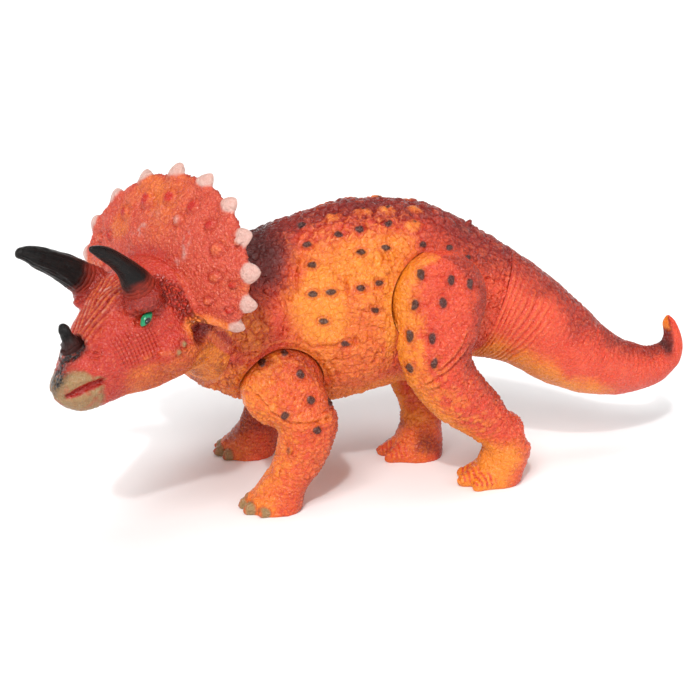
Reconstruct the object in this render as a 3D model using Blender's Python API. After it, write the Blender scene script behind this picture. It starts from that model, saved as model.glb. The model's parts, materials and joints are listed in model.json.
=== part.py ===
# Horned dinosaur toy figure: a hollow soft-vinyl body in two glued halves, with a plugged-in
# head, three plugged-in horns, four plugged-in legs that swing and a plugged-in tail.
# Metres, +Z up, head towards -X, the animal's left side towards -Y.
# The figure is modelled about the middle of its trunk and stood on its origin at the end.

import math

import bmesh
import bpy
from mathutils import Matrix, Vector
from mathutils.bvhtree import BVHTree

MM = 0.001

# Vinyl mouldings: walls, running gaps and the mesh size that the blended skins are cast at.
wall = 2.4 * MM
gap = 0.3 * MM
overrun = 4.0 * MM
glue_gap = 0.2 * MM
skin_grid = 1.1 * MM
sharp_angle = 40.0

# Trunk: from the neck seam to the tail seam.
trunk_front = -60.0 * MM
trunk_length = 113.0 * MM
trunk_centre_height = 70.0 * MM
trunk_half_width = 30.0 * MM
trunk_half_height = 38.0 * MM
neck_sideways = 17.0 * MM
neck_radius = 23.5 * MM
neck_turn = 30.0
tail_drop_angle = -22.0
tail_half_height = 22.4 * MM
tail_half_width = 18.0 * MM

# along, sideways, rise (of the half height), half width, half height, turn, tilt
trunk_shares = [
    (0.00, 1.00, 0.026, neck_radius / trunk_half_width, neck_radius / trunk_half_height, 1.00, 0.00),
    (0.10, 0.60, -0.050, 0.850, 0.745, 0.75, 0.00),
    (0.22, 0.18, -0.110, 0.920, 0.862, 0.35, 0.00),
    (0.372, 0.00, -0.056, 0.985, 0.941, 0.00, 0.00),
    (0.531, 0.00, 0.016, 1.000, 0.978, 0.00, 0.00),
    (0.664, 0.00, 0.070, 0.967, 0.925, 0.00, 0.05),
    (0.796, 0.00, 0.037, 0.867, 0.850, 0.00, 0.33),
    (0.91, 0.00, -0.055, 0.735, 0.720, 0.00, 0.68),
    (1.00, 0.00, -0.090, tail_half_width / trunk_half_width, tail_half_height / trunk_half_height, 0.00, 1.00),
]
trunk_belly_share = 0.06
trunk_rings = 20
trunk_sides = 30

# Tail: measured along the ground from its seam.
tail_reach = 80.0 * MM
tail_side_curl = 12.5 * MM

# along, height (of the root's), sideways, half width, half height, tilt in degrees
tail_shares = [
    (0.00, 1.000, 0.00, 1.00, 1.000, -22.0),
    (0.12, 0.926, 0.02, 0.93, 0.900, -28.0),
    (0.24, 0.838, 0.04, 0.87, 0.815, -35.0),
    (0.40, 0.688, 0.08, 0.80, 0.725, -38.0),
    (0.51, 0.604, 0.12, 0.72, 0.643, -32.0),
    (0.64, 0.536, 0.20, 0.62, 0.536, -17.0),
    (0.77, 0.508, 0.32, 0.50, 0.430, -5.0),
    (0.89, 0.506, 0.48, 0.39, 0.340, 12.0),
    (0.98, 0.565, 0.64, 0.29, 0.250, 48.0),
    (1.00, 0.652, 0.80, 0.18, 0.156, 85.0),
    (0.985, 0.734, 0.96, 0.12, 0.107, 100.0),
    (0.98, 0.775, 1.00, 0.03, 0.030, 95.0),
]
tail_rings = 24
tail_sides = 16

# Plugs: a stem through the wall and a wider button behind it.
stem_radius = 6.0 * MM
button_radius = 8.4 * MM
neck_stem_radius = 9.0 * MM
neck_button_radius = 12.0 * MM
tail_stem_radius = 7.0 * MM
tail_button_radius = 9.5 * MM
button_depth = 3.0 * MM
plug_sides = 24

# Locating pins inside the trunk's halves.
pin_radius = 1.5 * MM
pin_length = 4.0 * MM
pin_root = 2.0 * MM
pin_boss_radius = 3.2 * MM
pin_boss_length = 5.0 * MM
pin_boss_sink_share = 0.6
# along the trunk, and 1 for the spine or -1 for the belly
pin_place_shares = [(0.30, 1.0), (0.78, 1.0), (0.42, -1.0), (0.70, -1.0)]

# Shoulders: both swing about one line across the trunk, placed from its neck seam and its middle.
shoulder_behind_neck = 31.0 * MM
shoulder_drop = 23.5 * MM
shoulder_seat = 21.5 * MM
shoulder_radius = 15.6 * MM
shoulder_bulge = 14.0 * MM

# Hips: the same, larger, and placed from the tail seam.
hip_ahead_of_tail = 23.8 * MM
hip_rise = 5.5 * MM
hip_seat = 20.0 * MM
hip_radius = 18.6 * MM
hip_bulge = 12.5 * MM

# A dome over each seat: its rim lies flush with the trunk, but for a crease along its front.
dome_steps = 6
dome_top_share = 0.12
dome_squareness = 2.1
dome_front_squareness = 4.5
shoulder_flush_share = 0.35
hip_flush_share = 0.95

leg_rings = 16
leg_sides = 16
leg_squareness = 2.2
leg_faces = 740
leg_smoothing = 6
seat_sides = 32
pad_waist_share = 0.66
swing_limit = 12.0

# Legs, from the joint down: along, out and up are shares of the joint's height, half length and
# half thickness are shares of the joint's radius, and the tilt is in degrees.
front_leg_out = 30.0 * MM
front_left_shares = [
    (0.00, -0.02, 1.10, 0.86, 0.50, -90.0),
    (0.06, 0.00, 0.92, 0.86, 0.58, -85.0),
    (0.18, 0.01, 0.73, 0.72, 0.60, -86.0),
    (0.155, 0.00, 0.55, 0.65, 0.57, -100.0),
    (0.10, -0.01, 0.38, 0.57, 0.54, -106.0),
    (0.02, -0.03, 0.25, 0.51, 0.53, -108.0),
    (-0.05, -0.04, 0.12, 0.60, 0.60, -98.0),
    (-0.08, -0.04, -0.05, 0.66, 0.66, -90.0),
]
front_right_shares = [
    (0.00, -0.02, 1.10, 0.86, 0.50, -90.0),
    (0.02, 0.00, 0.90, 0.90, 0.58, -85.0),
    (0.08, -0.01, 0.70, 0.80, 0.60, -84.0),
    (0.07, -0.04, 0.51, 0.66, 0.57, -97.0),
    (0.01, -0.07, 0.35, 0.58, 0.54, -104.0),
    (-0.06, -0.10, 0.22, 0.55, 0.55, -104.0),
    (-0.13, -0.12, 0.10, 0.64, 0.62, -98.0),
    (-0.17, -0.13, -0.05, 0.68, 0.66, -90.0),
]
hind_leg_out = 27.0 * MM
hind_left_shares = [
    (0.00, -0.02, 1.08, 0.80, 0.36, -90.0),
    (-0.016, 0.02, 0.874, 0.87, 0.46, -90.0),
    (-0.034, 0.02, 0.748, 0.74, 0.49, -86.0),
    (0.013, 0.01, 0.629, 0.66, 0.50, -62.0),
    (0.103, -0.01, 0.506, 0.61, 0.49, -47.0),
    (0.215, -0.04, 0.404, 0.54, 0.45, -45.0),
    (0.315, -0.07, 0.305, 0.49, 0.42, -55.0),
    (0.368, -0.08, 0.216, 0.46, 0.42, -84.0),
    (0.358, -0.09, 0.130, 0.50, 0.46, -108.0),
    (0.330, -0.10, 0.045, 0.51, 0.48, -102.0),
    (0.320, -0.10, -0.045, 0.47, 0.48, -95.0),
]
hind_right_shares = [
    (0.00, -0.02, 1.08, 0.80, 0.36, -90.0),
    (-0.04, 0.02, 0.86, 0.84, 0.46, -90.0),
    (-0.05, 0.00, 0.66, 0.80, 0.49, -86.0),
    (-0.03, -0.06, 0.47, 0.64, 0.46, -82.0),
    (0.01, -0.13, 0.325, 0.46, 0.41, -86.0),
    (0.02, -0.19, 0.187, 0.40, 0.39, -96.0),
    (0.01, -0.22, 0.09, 0.52, 0.46, -100.0),
    (-0.01, -0.23, -0.04, 0.59, 0.50, -90.0),
]

# Toes: how far each stands from the foot's middle, and its size.
toe_sides = 12
nail_sides = 10
front_toe_length = 5.2 * MM
front_toe_radius = 4.2 * MM
hind_toe_length = 6.5 * MM
hind_toe_radius = 4.6 * MM
# forward and sideways as shares of the toe length, size as a share of the toe radius
front_toe_shares = [(0.45, 1.15, 0.82), (1.15, 0.62, 1.0), (1.35, -0.12, 1.0), (0.95, -0.85, 0.92)]
hind_toe_shares = [(0.75, 0.95, 0.85), (1.20, 0.30, 1.0), (0.95, -0.55, 1.0)]
toe_stretch_share = 1.3
toe_width_share = 0.86
toe_lift_share = 0.55
nail_share = 0.62
nail_reach_share = 0.58
nail_sink_share = 0.12

# Head: the brow point lies between the brow horns, placed from the middle of the neck seam.
brow_ahead = 29.2 * MM
brow_aside = 26.0 * MM
brow_rise = 24.8 * MM
head_turn = 40.0
head_tilt = 15.0
head_roll = -7.0
skull_length = 36.0 * MM
skull_half_width = 21.0 * MM
skull_half_height = 22.2 * MM
skull_drop = 21.2 * MM
skull_rings = 18
skull_sides = 24
skull_squareness = 2.3
throat_rings = 4
throat_squareness = 2.1
head_faces = 2600
head_smoothing = 3

# forward (of the skull length), drop, half width, half height
skull_shares = [
    (1.000, 1.108, 0.07, 0.113),
    (0.944, 1.170, 0.21, 0.234),
    (0.833, 1.180, 0.36, 0.383),
    (0.640, 1.130, 0.50, 0.518),
    (0.375, 1.047, 0.67, 0.685),
    (0.083, 1.014, 0.83, 0.878),
    (-0.194, 1.000, 0.95, 0.955),
    (-0.444, 1.000, 1.00, 1.000),
]

# Frill: a dished shield behind the skull with a row of studs round its edge.
frill_back = 20.5 * MM
frill_drop = 7.3 * MM
frill_half_width = 41.3 * MM
frill_half_height = 27.0 * MM
frill_lean = 20.5
frill_dish = 7.0 * MM
frill_level_share = 0.5
frill_curl = 7.4 * MM
frill_thickness = 4.2 * MM
frill_edge = 2.6 * MM
frill_spokes = 52
frill_rings = 6
frill_open_angle = 138.0
frill_close_share = 0.45
stud_count = 13
stud_spread = 264.0
stud_radius = 3.6 * MM
stud_length = 3.2 * MM
stud_sink = 2.5 * MM
stud_tip_share = 0.4
stud_inner_share = 0.8
stud_sides = 10

# Brow horns and nose horn: cones that bend forwards, each on a round plug.
brow_horn_spacing = 29.0 * MM
brow_horn_length = 28.2 * MM
brow_horn_radius = 6.0 * MM
nose_horn_length = 9.7 * MM
nose_horn_radius = 4.2 * MM
nose_horn_forward = 23.6 * MM
nose_horn_drop = 11.9 * MM
horn_plug_radius = 2.6 * MM
horn_plug_depth = 5.5 * MM
horn_seat_depth = 1.4 * MM
horn_rings = 9
horn_sides = 12
horn_tip_radius = 1.5 * MM
horn_tip_share = 0.6
horn_tip_power = 8
horn_taper_power = 0.8
brow_boss_share = 1.3
brow_boss_sink_share = 0.55
nose_boss_share = 1.35
nose_boss_sink_share = 0.8
nose_horn_rise_angle = 86.0
left_horn_rise_angle = 75.5
right_horn_rise_angle = 66.5
brow_horn_bend_angle = 40.0
brow_horn_splay_angle = 6.4

# Face.
eye_radius = 2.6 * MM
eye_forward = 2.6 * MM
eye_drop = 11.4 * MM
eye_out = 15.0 * MM
brow_ridge_radius = 5.0 * MM
brow_ridge_shares = (1.9, 0.8, 0.8)
brow_ridge_out_share = 0.86
brow_ridge_drop_share = 0.6
cheek_radius = 8.0 * MM
cheek_shares = (1.3, 0.7, 1.0)
cheek_back = 5.3 * MM
cheek_drop = 27.0 * MM
cheek_out = 17.0 * MM
mouth_depth = 13.0 * MM
mouth_opening = 2.2 * MM
mouth_drop = 25.6 * MM
mouth_lower_share = 0.4


def material(name, colour, roughness, metallic=0.0):
    made = bpy.data.materials.new(name)
    made.use_nodes = True
    shader = made.node_tree.nodes["Principled BSDF"]
    shader.inputs["Base Color"].default_value = (*colour, 1.0)
    shader.inputs["Roughness"].default_value = roughness
    shader.inputs["Metallic"].default_value = metallic
    return made


# Directions of a section: the way the form runs, its side and its top.
def section_axes(turn, tilt, roll=0.0):
    turn, tilt, roll = math.radians(turn), math.radians(tilt), math.radians(roll)
    run = Vector((math.cos(turn) * math.cos(tilt), math.sin(turn) * math.cos(tilt), math.sin(tilt)))
    side = Vector((-math.sin(turn), math.cos(turn), 0.0))
    top = run.cross(side)
    return (
        run,
        side * math.cos(roll) + top * math.sin(roll),
        top * math.cos(roll) - side * math.sin(roll),
    )


# Smooth values between the rows of a table, through every row.
def through_rows(rows, count):
    last = len(rows) - 1
    smooth = []
    for step in range(count):
        place = last * step / (count - 1)
        at = min(int(place), last - 1)
        t = place - at
        before, start, end, after = (rows[max(0, min(last, at + k))] for k in (-1, 0, 1, 2))
        smooth.append(
            tuple(
                0.5 * (2 * b + (c - a) * t + (2 * a - 5 * b + 4 * c - d) * t**2 + (3 * b - a - 3 * c + d) * t**3)
                for a, b, c, d in zip(before, start, end, after)
            )
        )
    return smooth


def ring_points(centre, side, top, half_width, half_height, sides, squareness=2.0, belly=0.0):
    points = []
    for k in range(sides):
        angle = 2 * math.pi * (k + 0.5) / sides
        across, up = math.cos(angle), math.sin(angle)
        across = math.copysign(abs(across) ** (2 / squareness), across) * (1 - belly * up)
        up = math.copysign(abs(up) ** (2 / squareness), up)
        points.append(centre + side * (half_width * across) + top * (half_height * up))
    return points


def new_object(name, mesh_data):
    mesh = bpy.data.meshes.new(name)
    bmesh.ops.recalc_face_normals(mesh_data, faces=mesh_data.faces)
    mesh_data.to_mesh(mesh)
    mesh_data.free()
    made = bpy.data.objects.new(name, mesh)
    bpy.context.scene.collection.objects.link(made)
    return made


# A closed skin over a row of rings.
def skin_over(name, rings):
    shape = bmesh.new()
    loops = [[shape.verts.new(point) for point in ring] for ring in rings]
    for first, second in zip(loops, loops[1:]):
        for k in range(len(first)):
            following = (k + 1) % len(first)
            shape.faces.new((first[k], first[following], second[following], second[k]))
    shape.faces.new(reversed(loops[0]))
    shape.faces.new(loops[-1])
    return new_object(name, shape)


def drum(name, base, direction, radius, length, sides=plug_sides, end_radius=None):
    shape = bmesh.new()
    bmesh.ops.create_cone(
        shape,
        cap_ends=True,
        segments=sides,
        radius1=radius,
        radius2=radius if end_radius is None else end_radius,
        depth=length,
        matrix=Matrix.Translation(base + direction * (length / 2))
        @ direction.to_track_quat("Z", "Y").to_matrix().to_4x4(),
    )
    return new_object(name, shape)


def ball(name, centre, axes, radii, sides=toe_sides):
    shape = bmesh.new()
    turn = Matrix(axes).transposed().to_4x4()
    size = Matrix.Diagonal((*radii, 1.0))
    place = Matrix.Translation(centre) @ turn @ size
    bmesh.ops.create_uvsphere(shape, u_segments=sides, v_segments=sides * 2 // 3, radius=1.0, matrix=place)
    return new_object(name, shape)


def block(name, low, high):
    shape = bmesh.new()
    size = Matrix.Diagonal((*(high - low), 1.0))
    bmesh.ops.create_cube(shape, size=1.0, matrix=Matrix.Translation((low + high) / 2) @ size)
    return new_object(name, shape)


def keep_result(target):
    bpy.context.view_layer.update()
    graph = bpy.context.evaluated_depsgraph_get()
    result = bpy.data.meshes.new_from_object(target.evaluated_get(graph))
    target.modifiers.clear()
    target.data = result
    return target


# One Boolean step after another; the tools are used up.
def combine(target, operation, tools, keep_tools=False):
    for tool in tools:
        step = target.modifiers.new(operation.lower(), "BOOLEAN")
        step.operation = operation
        step.solver = "EXACT"
        step.object = tool
    keep_result(target)
    if not keep_tools:
        for tool in tools:
            bpy.data.objects.remove(tool)
    return target


# Joined forms are cast again as one smooth skin with a set number of faces.
def cast_as_one(target, forms, faces, smoothing):
    combine(target, "UNION", forms)
    remesh = target.modifiers.new("cast", "REMESH")
    remesh.mode = "VOXEL"
    remesh.voxel_size = skin_grid
    smooth = target.modifiers.new("soften", "SMOOTH")
    smooth.factor = 0.5
    smooth.iterations = smoothing
    keep_result(target)
    target.data.calc_loop_triangles()
    thin = target.modifiers.new("thin", "DECIMATE")
    thin.ratio = min(1.0, faces / len(target.data.loop_triangles))
    return keep_result(target)


def duplicate(target, name):
    made = bpy.data.objects.new(name, target.data.copy())
    made.matrix_world = target.matrix_world
    bpy.context.scene.collection.objects.link(made)
    return made


def finish(target, name, look, joint_point):
    target.name = name
    target.data.name = name
    target.data.materials.clear()
    target.data.materials.append(look)
    target.data.transform(Matrix.Translation(-joint_point))
    target.location = joint_point
    target.data.shade_smooth()
    target.data.set_sharp_from_angle(angle=math.radians(sharp_angle))
    return target


# The trunk's outer form, or its core when a wall is taken off.
def trunk_form(name, thinner=0.0, end_inset=0.0):
    rings = []
    for row in through_rows(trunk_shares, trunk_rings):
        along, sideways, rise, half_width, half_height, turn, tilt = row
        run, side, top = section_axes(neck_turn * turn, tail_drop_angle * tilt)
        centre = Vector(
            (
                trunk_front + trunk_length * along,
                -neck_sideways * sideways,
                trunk_centre_height + trunk_half_height * rise,
            )
        )
        width = trunk_half_width * half_width - thinner
        height = trunk_half_height * half_height - thinner
        centre += run * (end_inset * (1 - 2 * along))
        rings.append(ring_points(centre, side, top, width, height, trunk_sides, belly=trunk_belly_share))
    return skin_over(name, rings)


def trunk_end(last):
    row = trunk_shares[-1 if last else 0]
    run, side, top = section_axes(neck_turn * row[5], tail_drop_angle * row[6])
    centre = Vector(
        (
            trunk_front + trunk_length * row[0],
            -neck_sideways * row[1],
            trunk_centre_height + trunk_half_height * row[2],
        )
    )
    return centre, (run if last else -run)


# A stem and a button that reach back through a wall from a seat.
def plug(name, seat, inward, stem, button):
    shaft = drum(name, seat - inward * overrun, inward, stem, overrun + wall + gap * 2)
    cap = drum(name + "_button", seat + inward * (wall + gap), inward, button, button_depth, end_radius=stem)
    return combine(shaft, "UNION", [cap])


# The four round seats on the trunk: where each is, which way it faces and its radius.
def leg_seats():
    shoulder = Vector((trunk_front + shoulder_behind_neck, 0.0, trunk_centre_height - shoulder_drop))
    hip = Vector((trunk_front + trunk_length - hip_ahead_of_tail, 0.0, trunk_centre_height + hip_rise))
    seats = []
    for outward in (-1.0, 1.0):
        away = Vector((0.0, outward, 0.0))
        seats.append((shoulder + away * shoulder_seat, away, shoulder_radius))
        seats.append((hip + away * hip_seat, away, hip_radius))
    return seats


# Round pads across the trunk, waisted in the middle, that carry it out past the leg seats.
def seat_pads(larger):
    pads = []
    forward, up = Vector((1.0, 0.0, 0.0)), Vector((0.0, 0.0, 1.0))
    for seat, away, radius in leg_seats():
        if away.y < 0:
            continue
        middle = seat - away * seat.dot(away)
        rings = []
        for place, share in ((-1.0, 1.0), (0.0, pad_waist_share), (1.0, 1.0)):
            span = radius * share + larger
            centre = middle + away * place * (seat.dot(away) + overrun)
            rings.append(ring_points(centre, forward, up, span, span, seat_sides))
        pads.append(skin_over("pad", rings))
    return pads


# Everything on one side of the trunk's own middle line, which bends with the neck.
def half_space(name, outward):
    plan = []
    far = Vector((0.0, outward * trunk_length, 0.0))
    for row in through_rows(trunk_shares, trunk_rings):
        run = section_axes(neck_turn * row[5], 0.0)[0]
        middle = Vector((trunk_front + trunk_length * row[0], -neck_sideways * row[1], 0.0))
        if not plan:
            plan.append(middle - run * trunk_half_width)
        plan.append(middle)
    plan.append(plan[-1] + run * trunk_half_width)
    shape = bmesh.new()
    rise = Vector((0.0, 0.0, trunk_centre_height + trunk_half_height * 2))
    inner = [point + Vector((0.0, outward * glue_gap / 2, 0.0)) for point in plan]
    levels = []
    for height in (-rise, rise):
        edge = [shape.verts.new(point + height) for point in inner]
        edge += [shape.verts.new(point + far + height) for point in (inner[-1], inner[0])]
        levels.append(edge)
    count = len(levels[0])
    for k in range(count):
        following = (k + 1) % count
        shape.faces.new((levels[0][k], levels[0][following], levels[1][following], levels[1][k]))
    for edge in levels:
        shape.faces.new(edge)
    return new_object(name, shape)


# The two halves of the trunk: a shell with a seat and a hole for every plug.
def trunk_shells(look):
    core = trunk_form("core", wall, wall)
    cups, cuts = [], []
    for seat, away, radius in leg_seats():
        cups.append(drum("cup", seat - away * wall, away, radius + wall, trunk_half_width, seat_sides))
        cuts.append(drum("seat", seat, away, radius + gap, trunk_half_width, seat_sides))
        cuts.append(drum("hole", seat - away * (wall + overrun), away, stem_radius + gap, wall + overrun * 2))
    combine(core, "UNION", seat_pads(-wall))
    combine(core, "DIFFERENCE", cups)
    for last, radius in ((False, neck_stem_radius), (True, tail_stem_radius)):
        end, away = trunk_end(last)
        cuts.append(drum("hole", end - away * (wall + overrun), away, radius + gap, wall + overrun * 2))
    shell = combine(trunk_form("shell"), "UNION", seat_pads(0.0))
    combine(shell, "DIFFERENCE", [core] + cuts)
    halves = []
    for outward, name in ((-1.0, "torso_left_shell"), (1.0, "torso_right_shell")):
        half = combine(duplicate(shell, name), "INTERSECT", [half_space("side", outward)])
        add_locators(half, outward)
        halves.append(finish(half, name, look, Vector((0.0, 0.0, trunk_centre_height))))
    bpy.data.objects.remove(shell)
    return halves


# Pins inside the left half and the sockets for them inside the right half.
def add_locators(half, outward):
    bosses, pins, sockets = [], [], []
    for along, over in pin_place_shares:
        row = through_rows(trunk_shares, trunk_rings)[round(along * (trunk_rings - 1))]
        across = section_axes(neck_turn * row[5], 0.0)[1]
        reach = trunk_half_height * row[4] - wall - pin_boss_radius * pin_boss_sink_share
        centre = Vector(
            (
                trunk_front + trunk_length * row[0],
                -neck_sideways * row[1],
                trunk_centre_height + trunk_half_height * row[2] + reach * over,
            )
        )
        face = centre + across * (outward * (glue_gap + gap))
        bosses.append(drum("boss", face, across * outward, pin_boss_radius, pin_boss_length))
        if outward < 0:
            pins.append(drum("pin", face - across * pin_root, across, pin_radius, pin_root + pin_length))
        else:
            sockets.append(drum("socket", face - across * overrun, across, pin_radius + gap, overrun + pin_length + gap))
    combine(half, "UNION", bosses + pins)
    if sockets:
        combine(half, "DIFFERENCE", sockets)


def toe_shapes(foot, away, length, radius, shares):
    shapes = []
    heading, up = Vector((-1.0, 0.0, 0.0)), Vector((0.0, 0.0, 1.0))
    for forward, out, size in shares:
        reach = heading * (length * forward) + away * (length * out)
        way = (heading + reach.normalized()).normalized()
        centre = foot + reach + up * (radius * size * toe_lift_share)
        axes = (way, up.cross(way), up)
        radii = (radius * size * toe_stretch_share, radius * size * toe_width_share, radius * size)
        shapes.append(ball("toe", centre, axes, radii))
        tip = centre + way * (radii[0] * nail_reach_share) - up * (radii[2] * nail_sink_share)
        shapes.append(ball("nail", tip, axes, [part * nail_share for part in radii], nail_sides))
    return shapes


# How far the trunk's skin stands out from a seat's plane, beside a place on the seat's rim.
def skin_over_seat(trunk_tree, place, away):
    hit = trunk_tree.ray_cast(place + away * trunk_half_width, -away)[0]
    return max(0.0, (hit - place).dot(away)) if hit else 0.0


# The dome over a seat: square along its front, which leaves a crease, and soft elsewhere.
def dome_form(trunk_tree, centre, away, radius, bulge, flush_share):
    sides = leg_sides * 2
    forward, up = Vector((1.0, 0.0, 0.0)), Vector((0.0, 0.0, 1.0))
    rim = ring_points(centre, forward, up, radius, radius, sides)
    rings = [[point - away * overrun for point in rim]]
    for step in range(dome_steps + 1):
        span = math.cos(step / dome_steps * math.pi / 2) * (1 - dome_top_share) + dome_top_share
        ring = []
        for point in rim:
            front = max(0.0, (centre - point).dot(forward) / radius)
            squareness = dome_squareness + (dome_front_squareness - dome_squareness) * front
            low = skin_over_seat(trunk_tree, point, away) * flush_share * (1 - front)
            height = low + (bulge - low) * (1 - span**squareness) ** (1 / squareness)
            ring.append(centre.lerp(point, span) + away * height)
        rings.append(ring)
    return skin_over("dome", rings)


# A leg: a dome that seats on the trunk, the limb below it, the foot and its toes.
def leg(name, trunk, seat_number, bulge, flush_share, out, shares, toes, look):
    centre, away, radius = leg_seats()[seat_number]
    skin = trunk.data.vertices, trunk.data.polygons
    trunk_tree = BVHTree.FromPolygons([point.co for point in skin[0]], [face.vertices for face in skin[1]])
    dome = dome_form(trunk_tree, centre, away, radius, bulge, flush_share)
    rings = []
    height = centre.z
    for along, offset, rise, half_length, half_thick, tilt in through_rows(shares, leg_rings):
        side, top = section_axes(0.0, tilt)[1:]
        middle = Vector((centre.x + height * along, away.y * (out + height * offset), height * rise))
        span = (radius * half_thick, radius * half_length)
        rings.append(ring_points(middle, side, top, *span, leg_sides, leg_squareness))
    limb = skin_over(name, rings)
    foot = Vector((rings_middle(rings[-1]).x, rings_middle(rings[-1]).y, 0.0))
    cast_as_one(limb, [dome] + toe_shapes(foot, away, *toes), leg_faces, leg_smoothing)
    reach = Vector((height, height, height))
    floor = block("floor", foot - reach, foot + Vector((reach.x, reach.y, 0.0)))
    depth = centre.dot(away)
    inside = drum("inside", centre - away * depth, away, radius + gap, depth + gap, seat_sides)
    combine(limb, "DIFFERENCE", [floor, swing_clearance(trunk, centre, away, radius), inside])
    combine(limb, "UNION", [plug("plug", centre, -away, stem_radius, button_radius)])
    return finish(limb, name, look, centre)


def rings_middle(ring):
    return sum(ring, Vector()) / len(ring)


# What a leg must clear as it swings: the trunk turned both ways about the leg's joint, with its seat.
def swing_clearance(trunk, centre, away, radius):
    turned = []
    for angle in (-swing_limit, 0.0, swing_limit):
        spin = Matrix.Rotation(math.radians(angle), 4, "Y")
        turned.append(duplicate(trunk, "clearance"))
        turned[-1].data.transform(Matrix.Translation(centre) @ spin @ Matrix.Translation(-centre))
    swept = combine(turned[0], "UNION", turned[1:])
    seat = drum("seat", centre - away * overrun * 2, away, radius + gap / 2, trunk_half_width, seat_sides)
    return combine(swept, "DIFFERENCE", [seat])


def tail(look):
    end, away = trunk_end(True)
    rings = []
    for along, rise, sideways, half_width, half_height, tilt in through_rows(tail_shares, tail_rings):
        side, top = section_axes(0.0, tilt)[1:]
        middle = Vector((end.x + tail_reach * along, tail_side_curl * sideways, end.z * rise))
        middle += away * gap
        width, height = tail_half_width * half_width, tail_half_height * half_height
        rings.append(ring_points(middle, side, top, width, height, tail_sides))
    made = skin_over("tail", rings)
    combine(made, "UNION", [plug("plug", end, -away, tail_stem_radius, tail_button_radius)])
    return finish(made, "tail", look, end)


# Head axes: places on the head are given forward, left and up from the brow point.
def head_place(forward, left, up):
    run, side, top = section_axes(head_turn, head_tilt, head_roll)
    brow = trunk_end(False)[0] + Vector((-brow_ahead, -brow_aside, brow_rise))
    return brow - run * forward - side * left + top * up


def skull_form():
    rings = []
    for forward, drop, half_width, half_height in through_rows(skull_shares, skull_rings):
        side, top = section_axes(head_turn, head_tilt, head_roll)[1:]
        middle = head_place(skull_length * forward, 0.0, -skull_drop * drop)
        width, height = skull_half_width * half_width, skull_half_height * half_height
        rings.append(ring_points(middle, side, top, width, height, skull_sides, skull_squareness))
    neck, away = trunk_end(False)
    start = rings_middle(rings[-1])
    for step in range(1, throat_rings + 1):
        share = step / throat_rings
        angles = [a * (1 - share) + b * share for a, b in zip((head_turn, head_tilt, head_roll), (neck_turn, 0, 0))]
        side, top = section_axes(*angles)[1:]
        width = skull_half_width * (1 - share) + neck_radius * share
        height = skull_half_height * (1 - share) + neck_radius * share
        middle = start.lerp(neck - away * overrun / 2, share)
        rings.append(ring_points(middle, side, top, width, height, skull_sides, throat_squareness))
    return skin_over("head", rings)


def frill_place(angle, share, back):
    lean = math.tan(math.radians(frill_lean))
    fade = min(1.0, max(0.0, (abs(angle) - frill_open_angle) / (180.0 - frill_open_angle)))
    reach = share * (1 - frill_close_share * fade)
    across = frill_half_width * reach * math.sin(math.radians(angle))
    up = frill_half_height * reach * math.cos(math.radians(angle))
    curl = frill_curl * (up / frill_half_height) ** 2
    behind = frill_back + lean * up + curl + frill_dish * (reach**2 - frill_level_share) + back
    return head_place(-behind, across, up - frill_drop)


def frill_form():
    shape = bmesh.new()
    sheets = []
    for front in (True, False):
        rows = []
        for ring in range(1, frill_rings + 1):
            share = ring / frill_rings
            thick = frill_thickness * (1 - share) + frill_edge * share
            back = -thick / 2 if front else thick / 2
            spokes = [360.0 * k / frill_spokes - 180.0 for k in range(frill_spokes)]
            rows.append([shape.verts.new(frill_place(angle, share, back)) for angle in spokes])
        sheets.append(rows)
    for rows in sheets:
        for first, second in zip(rows, rows[1:]):
            for k in range(frill_spokes):
                following = (k + 1) % frill_spokes
                shape.faces.new((first[k], first[following], second[following], second[k]))
        shape.faces.new(rows[0])
    front, back = sheets[0][-1], sheets[1][-1]
    for k in range(frill_spokes):
        following = (k + 1) % frill_spokes
        shape.faces.new((front[k], front[following], back[following], back[k]))
    return new_object("frill", shape)


def stud_forms():
    studs = []
    for number in range(stud_count):
        angle = stud_spread * (number / (stud_count - 1) - 0.5)
        edge = frill_place(angle, 1.0, 0.0)
        away = (edge - frill_place(angle, stud_inner_share, 0.0)).normalized()
        base = edge - away * stud_sink
        tip_radius = stud_radius * stud_tip_share
        studs.append(drum("stud", base, away, stud_radius, stud_sink + stud_length, stud_sides, tip_radius))
    return studs


# A horn that bends forwards from a flat round base, with the plug under it.
def horn(name, base, rise_angle, bend_angle, splay_angle, left, length, radius, look):
    run, side, top = section_axes(head_turn, head_tilt, head_roll)
    rings = []
    point = base
    steps = horn_rings - 1
    for step in range(horn_rings):
        share = step / steps
        rise = math.radians(rise_angle - bend_angle * share)
        way = -run * math.cos(rise) + top * math.sin(rise)
        way = (way - side * left * math.sin(math.radians(splay_angle))).normalized()
        across = way.cross(top).normalized()
        span = radius * (1 - share) ** horn_taper_power + horn_tip_radius * share
        last = share**horn_tip_power
        span = span * (1 - last) + horn_tip_radius * horn_tip_share * last
        rings.append(ring_points(point, across, across.cross(way), span, span, horn_sides))
        point = point + way * (length / steps)
    made = skin_over(name, rings)
    way = horn_direction(rise_angle, splay_angle, left)
    shaft = drum("plug", base + way * overrun / 2, -way, horn_plug_radius, overrun / 2 + horn_plug_depth)
    combine(made, "UNION", [shaft])
    return finish(made, name, look, base)


def horn_direction(rise_angle, splay_angle, left):
    run, side, top = section_axes(head_turn, head_tilt, head_roll)
    rise = math.radians(rise_angle)
    way = -run * math.cos(rise) + top * math.sin(rise)
    return (way - side * left * math.sin(math.radians(splay_angle))).normalized()


def horn_socket(base, way, radius):
    seat = drum("seat", base - way * gap, way, radius + gap, horn_seat_depth + overrun * 2)
    bore = drum("bore", base + way * overrun, -way, horn_plug_radius + gap, overrun + horn_plug_depth + gap)
    return [seat, bore]


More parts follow.
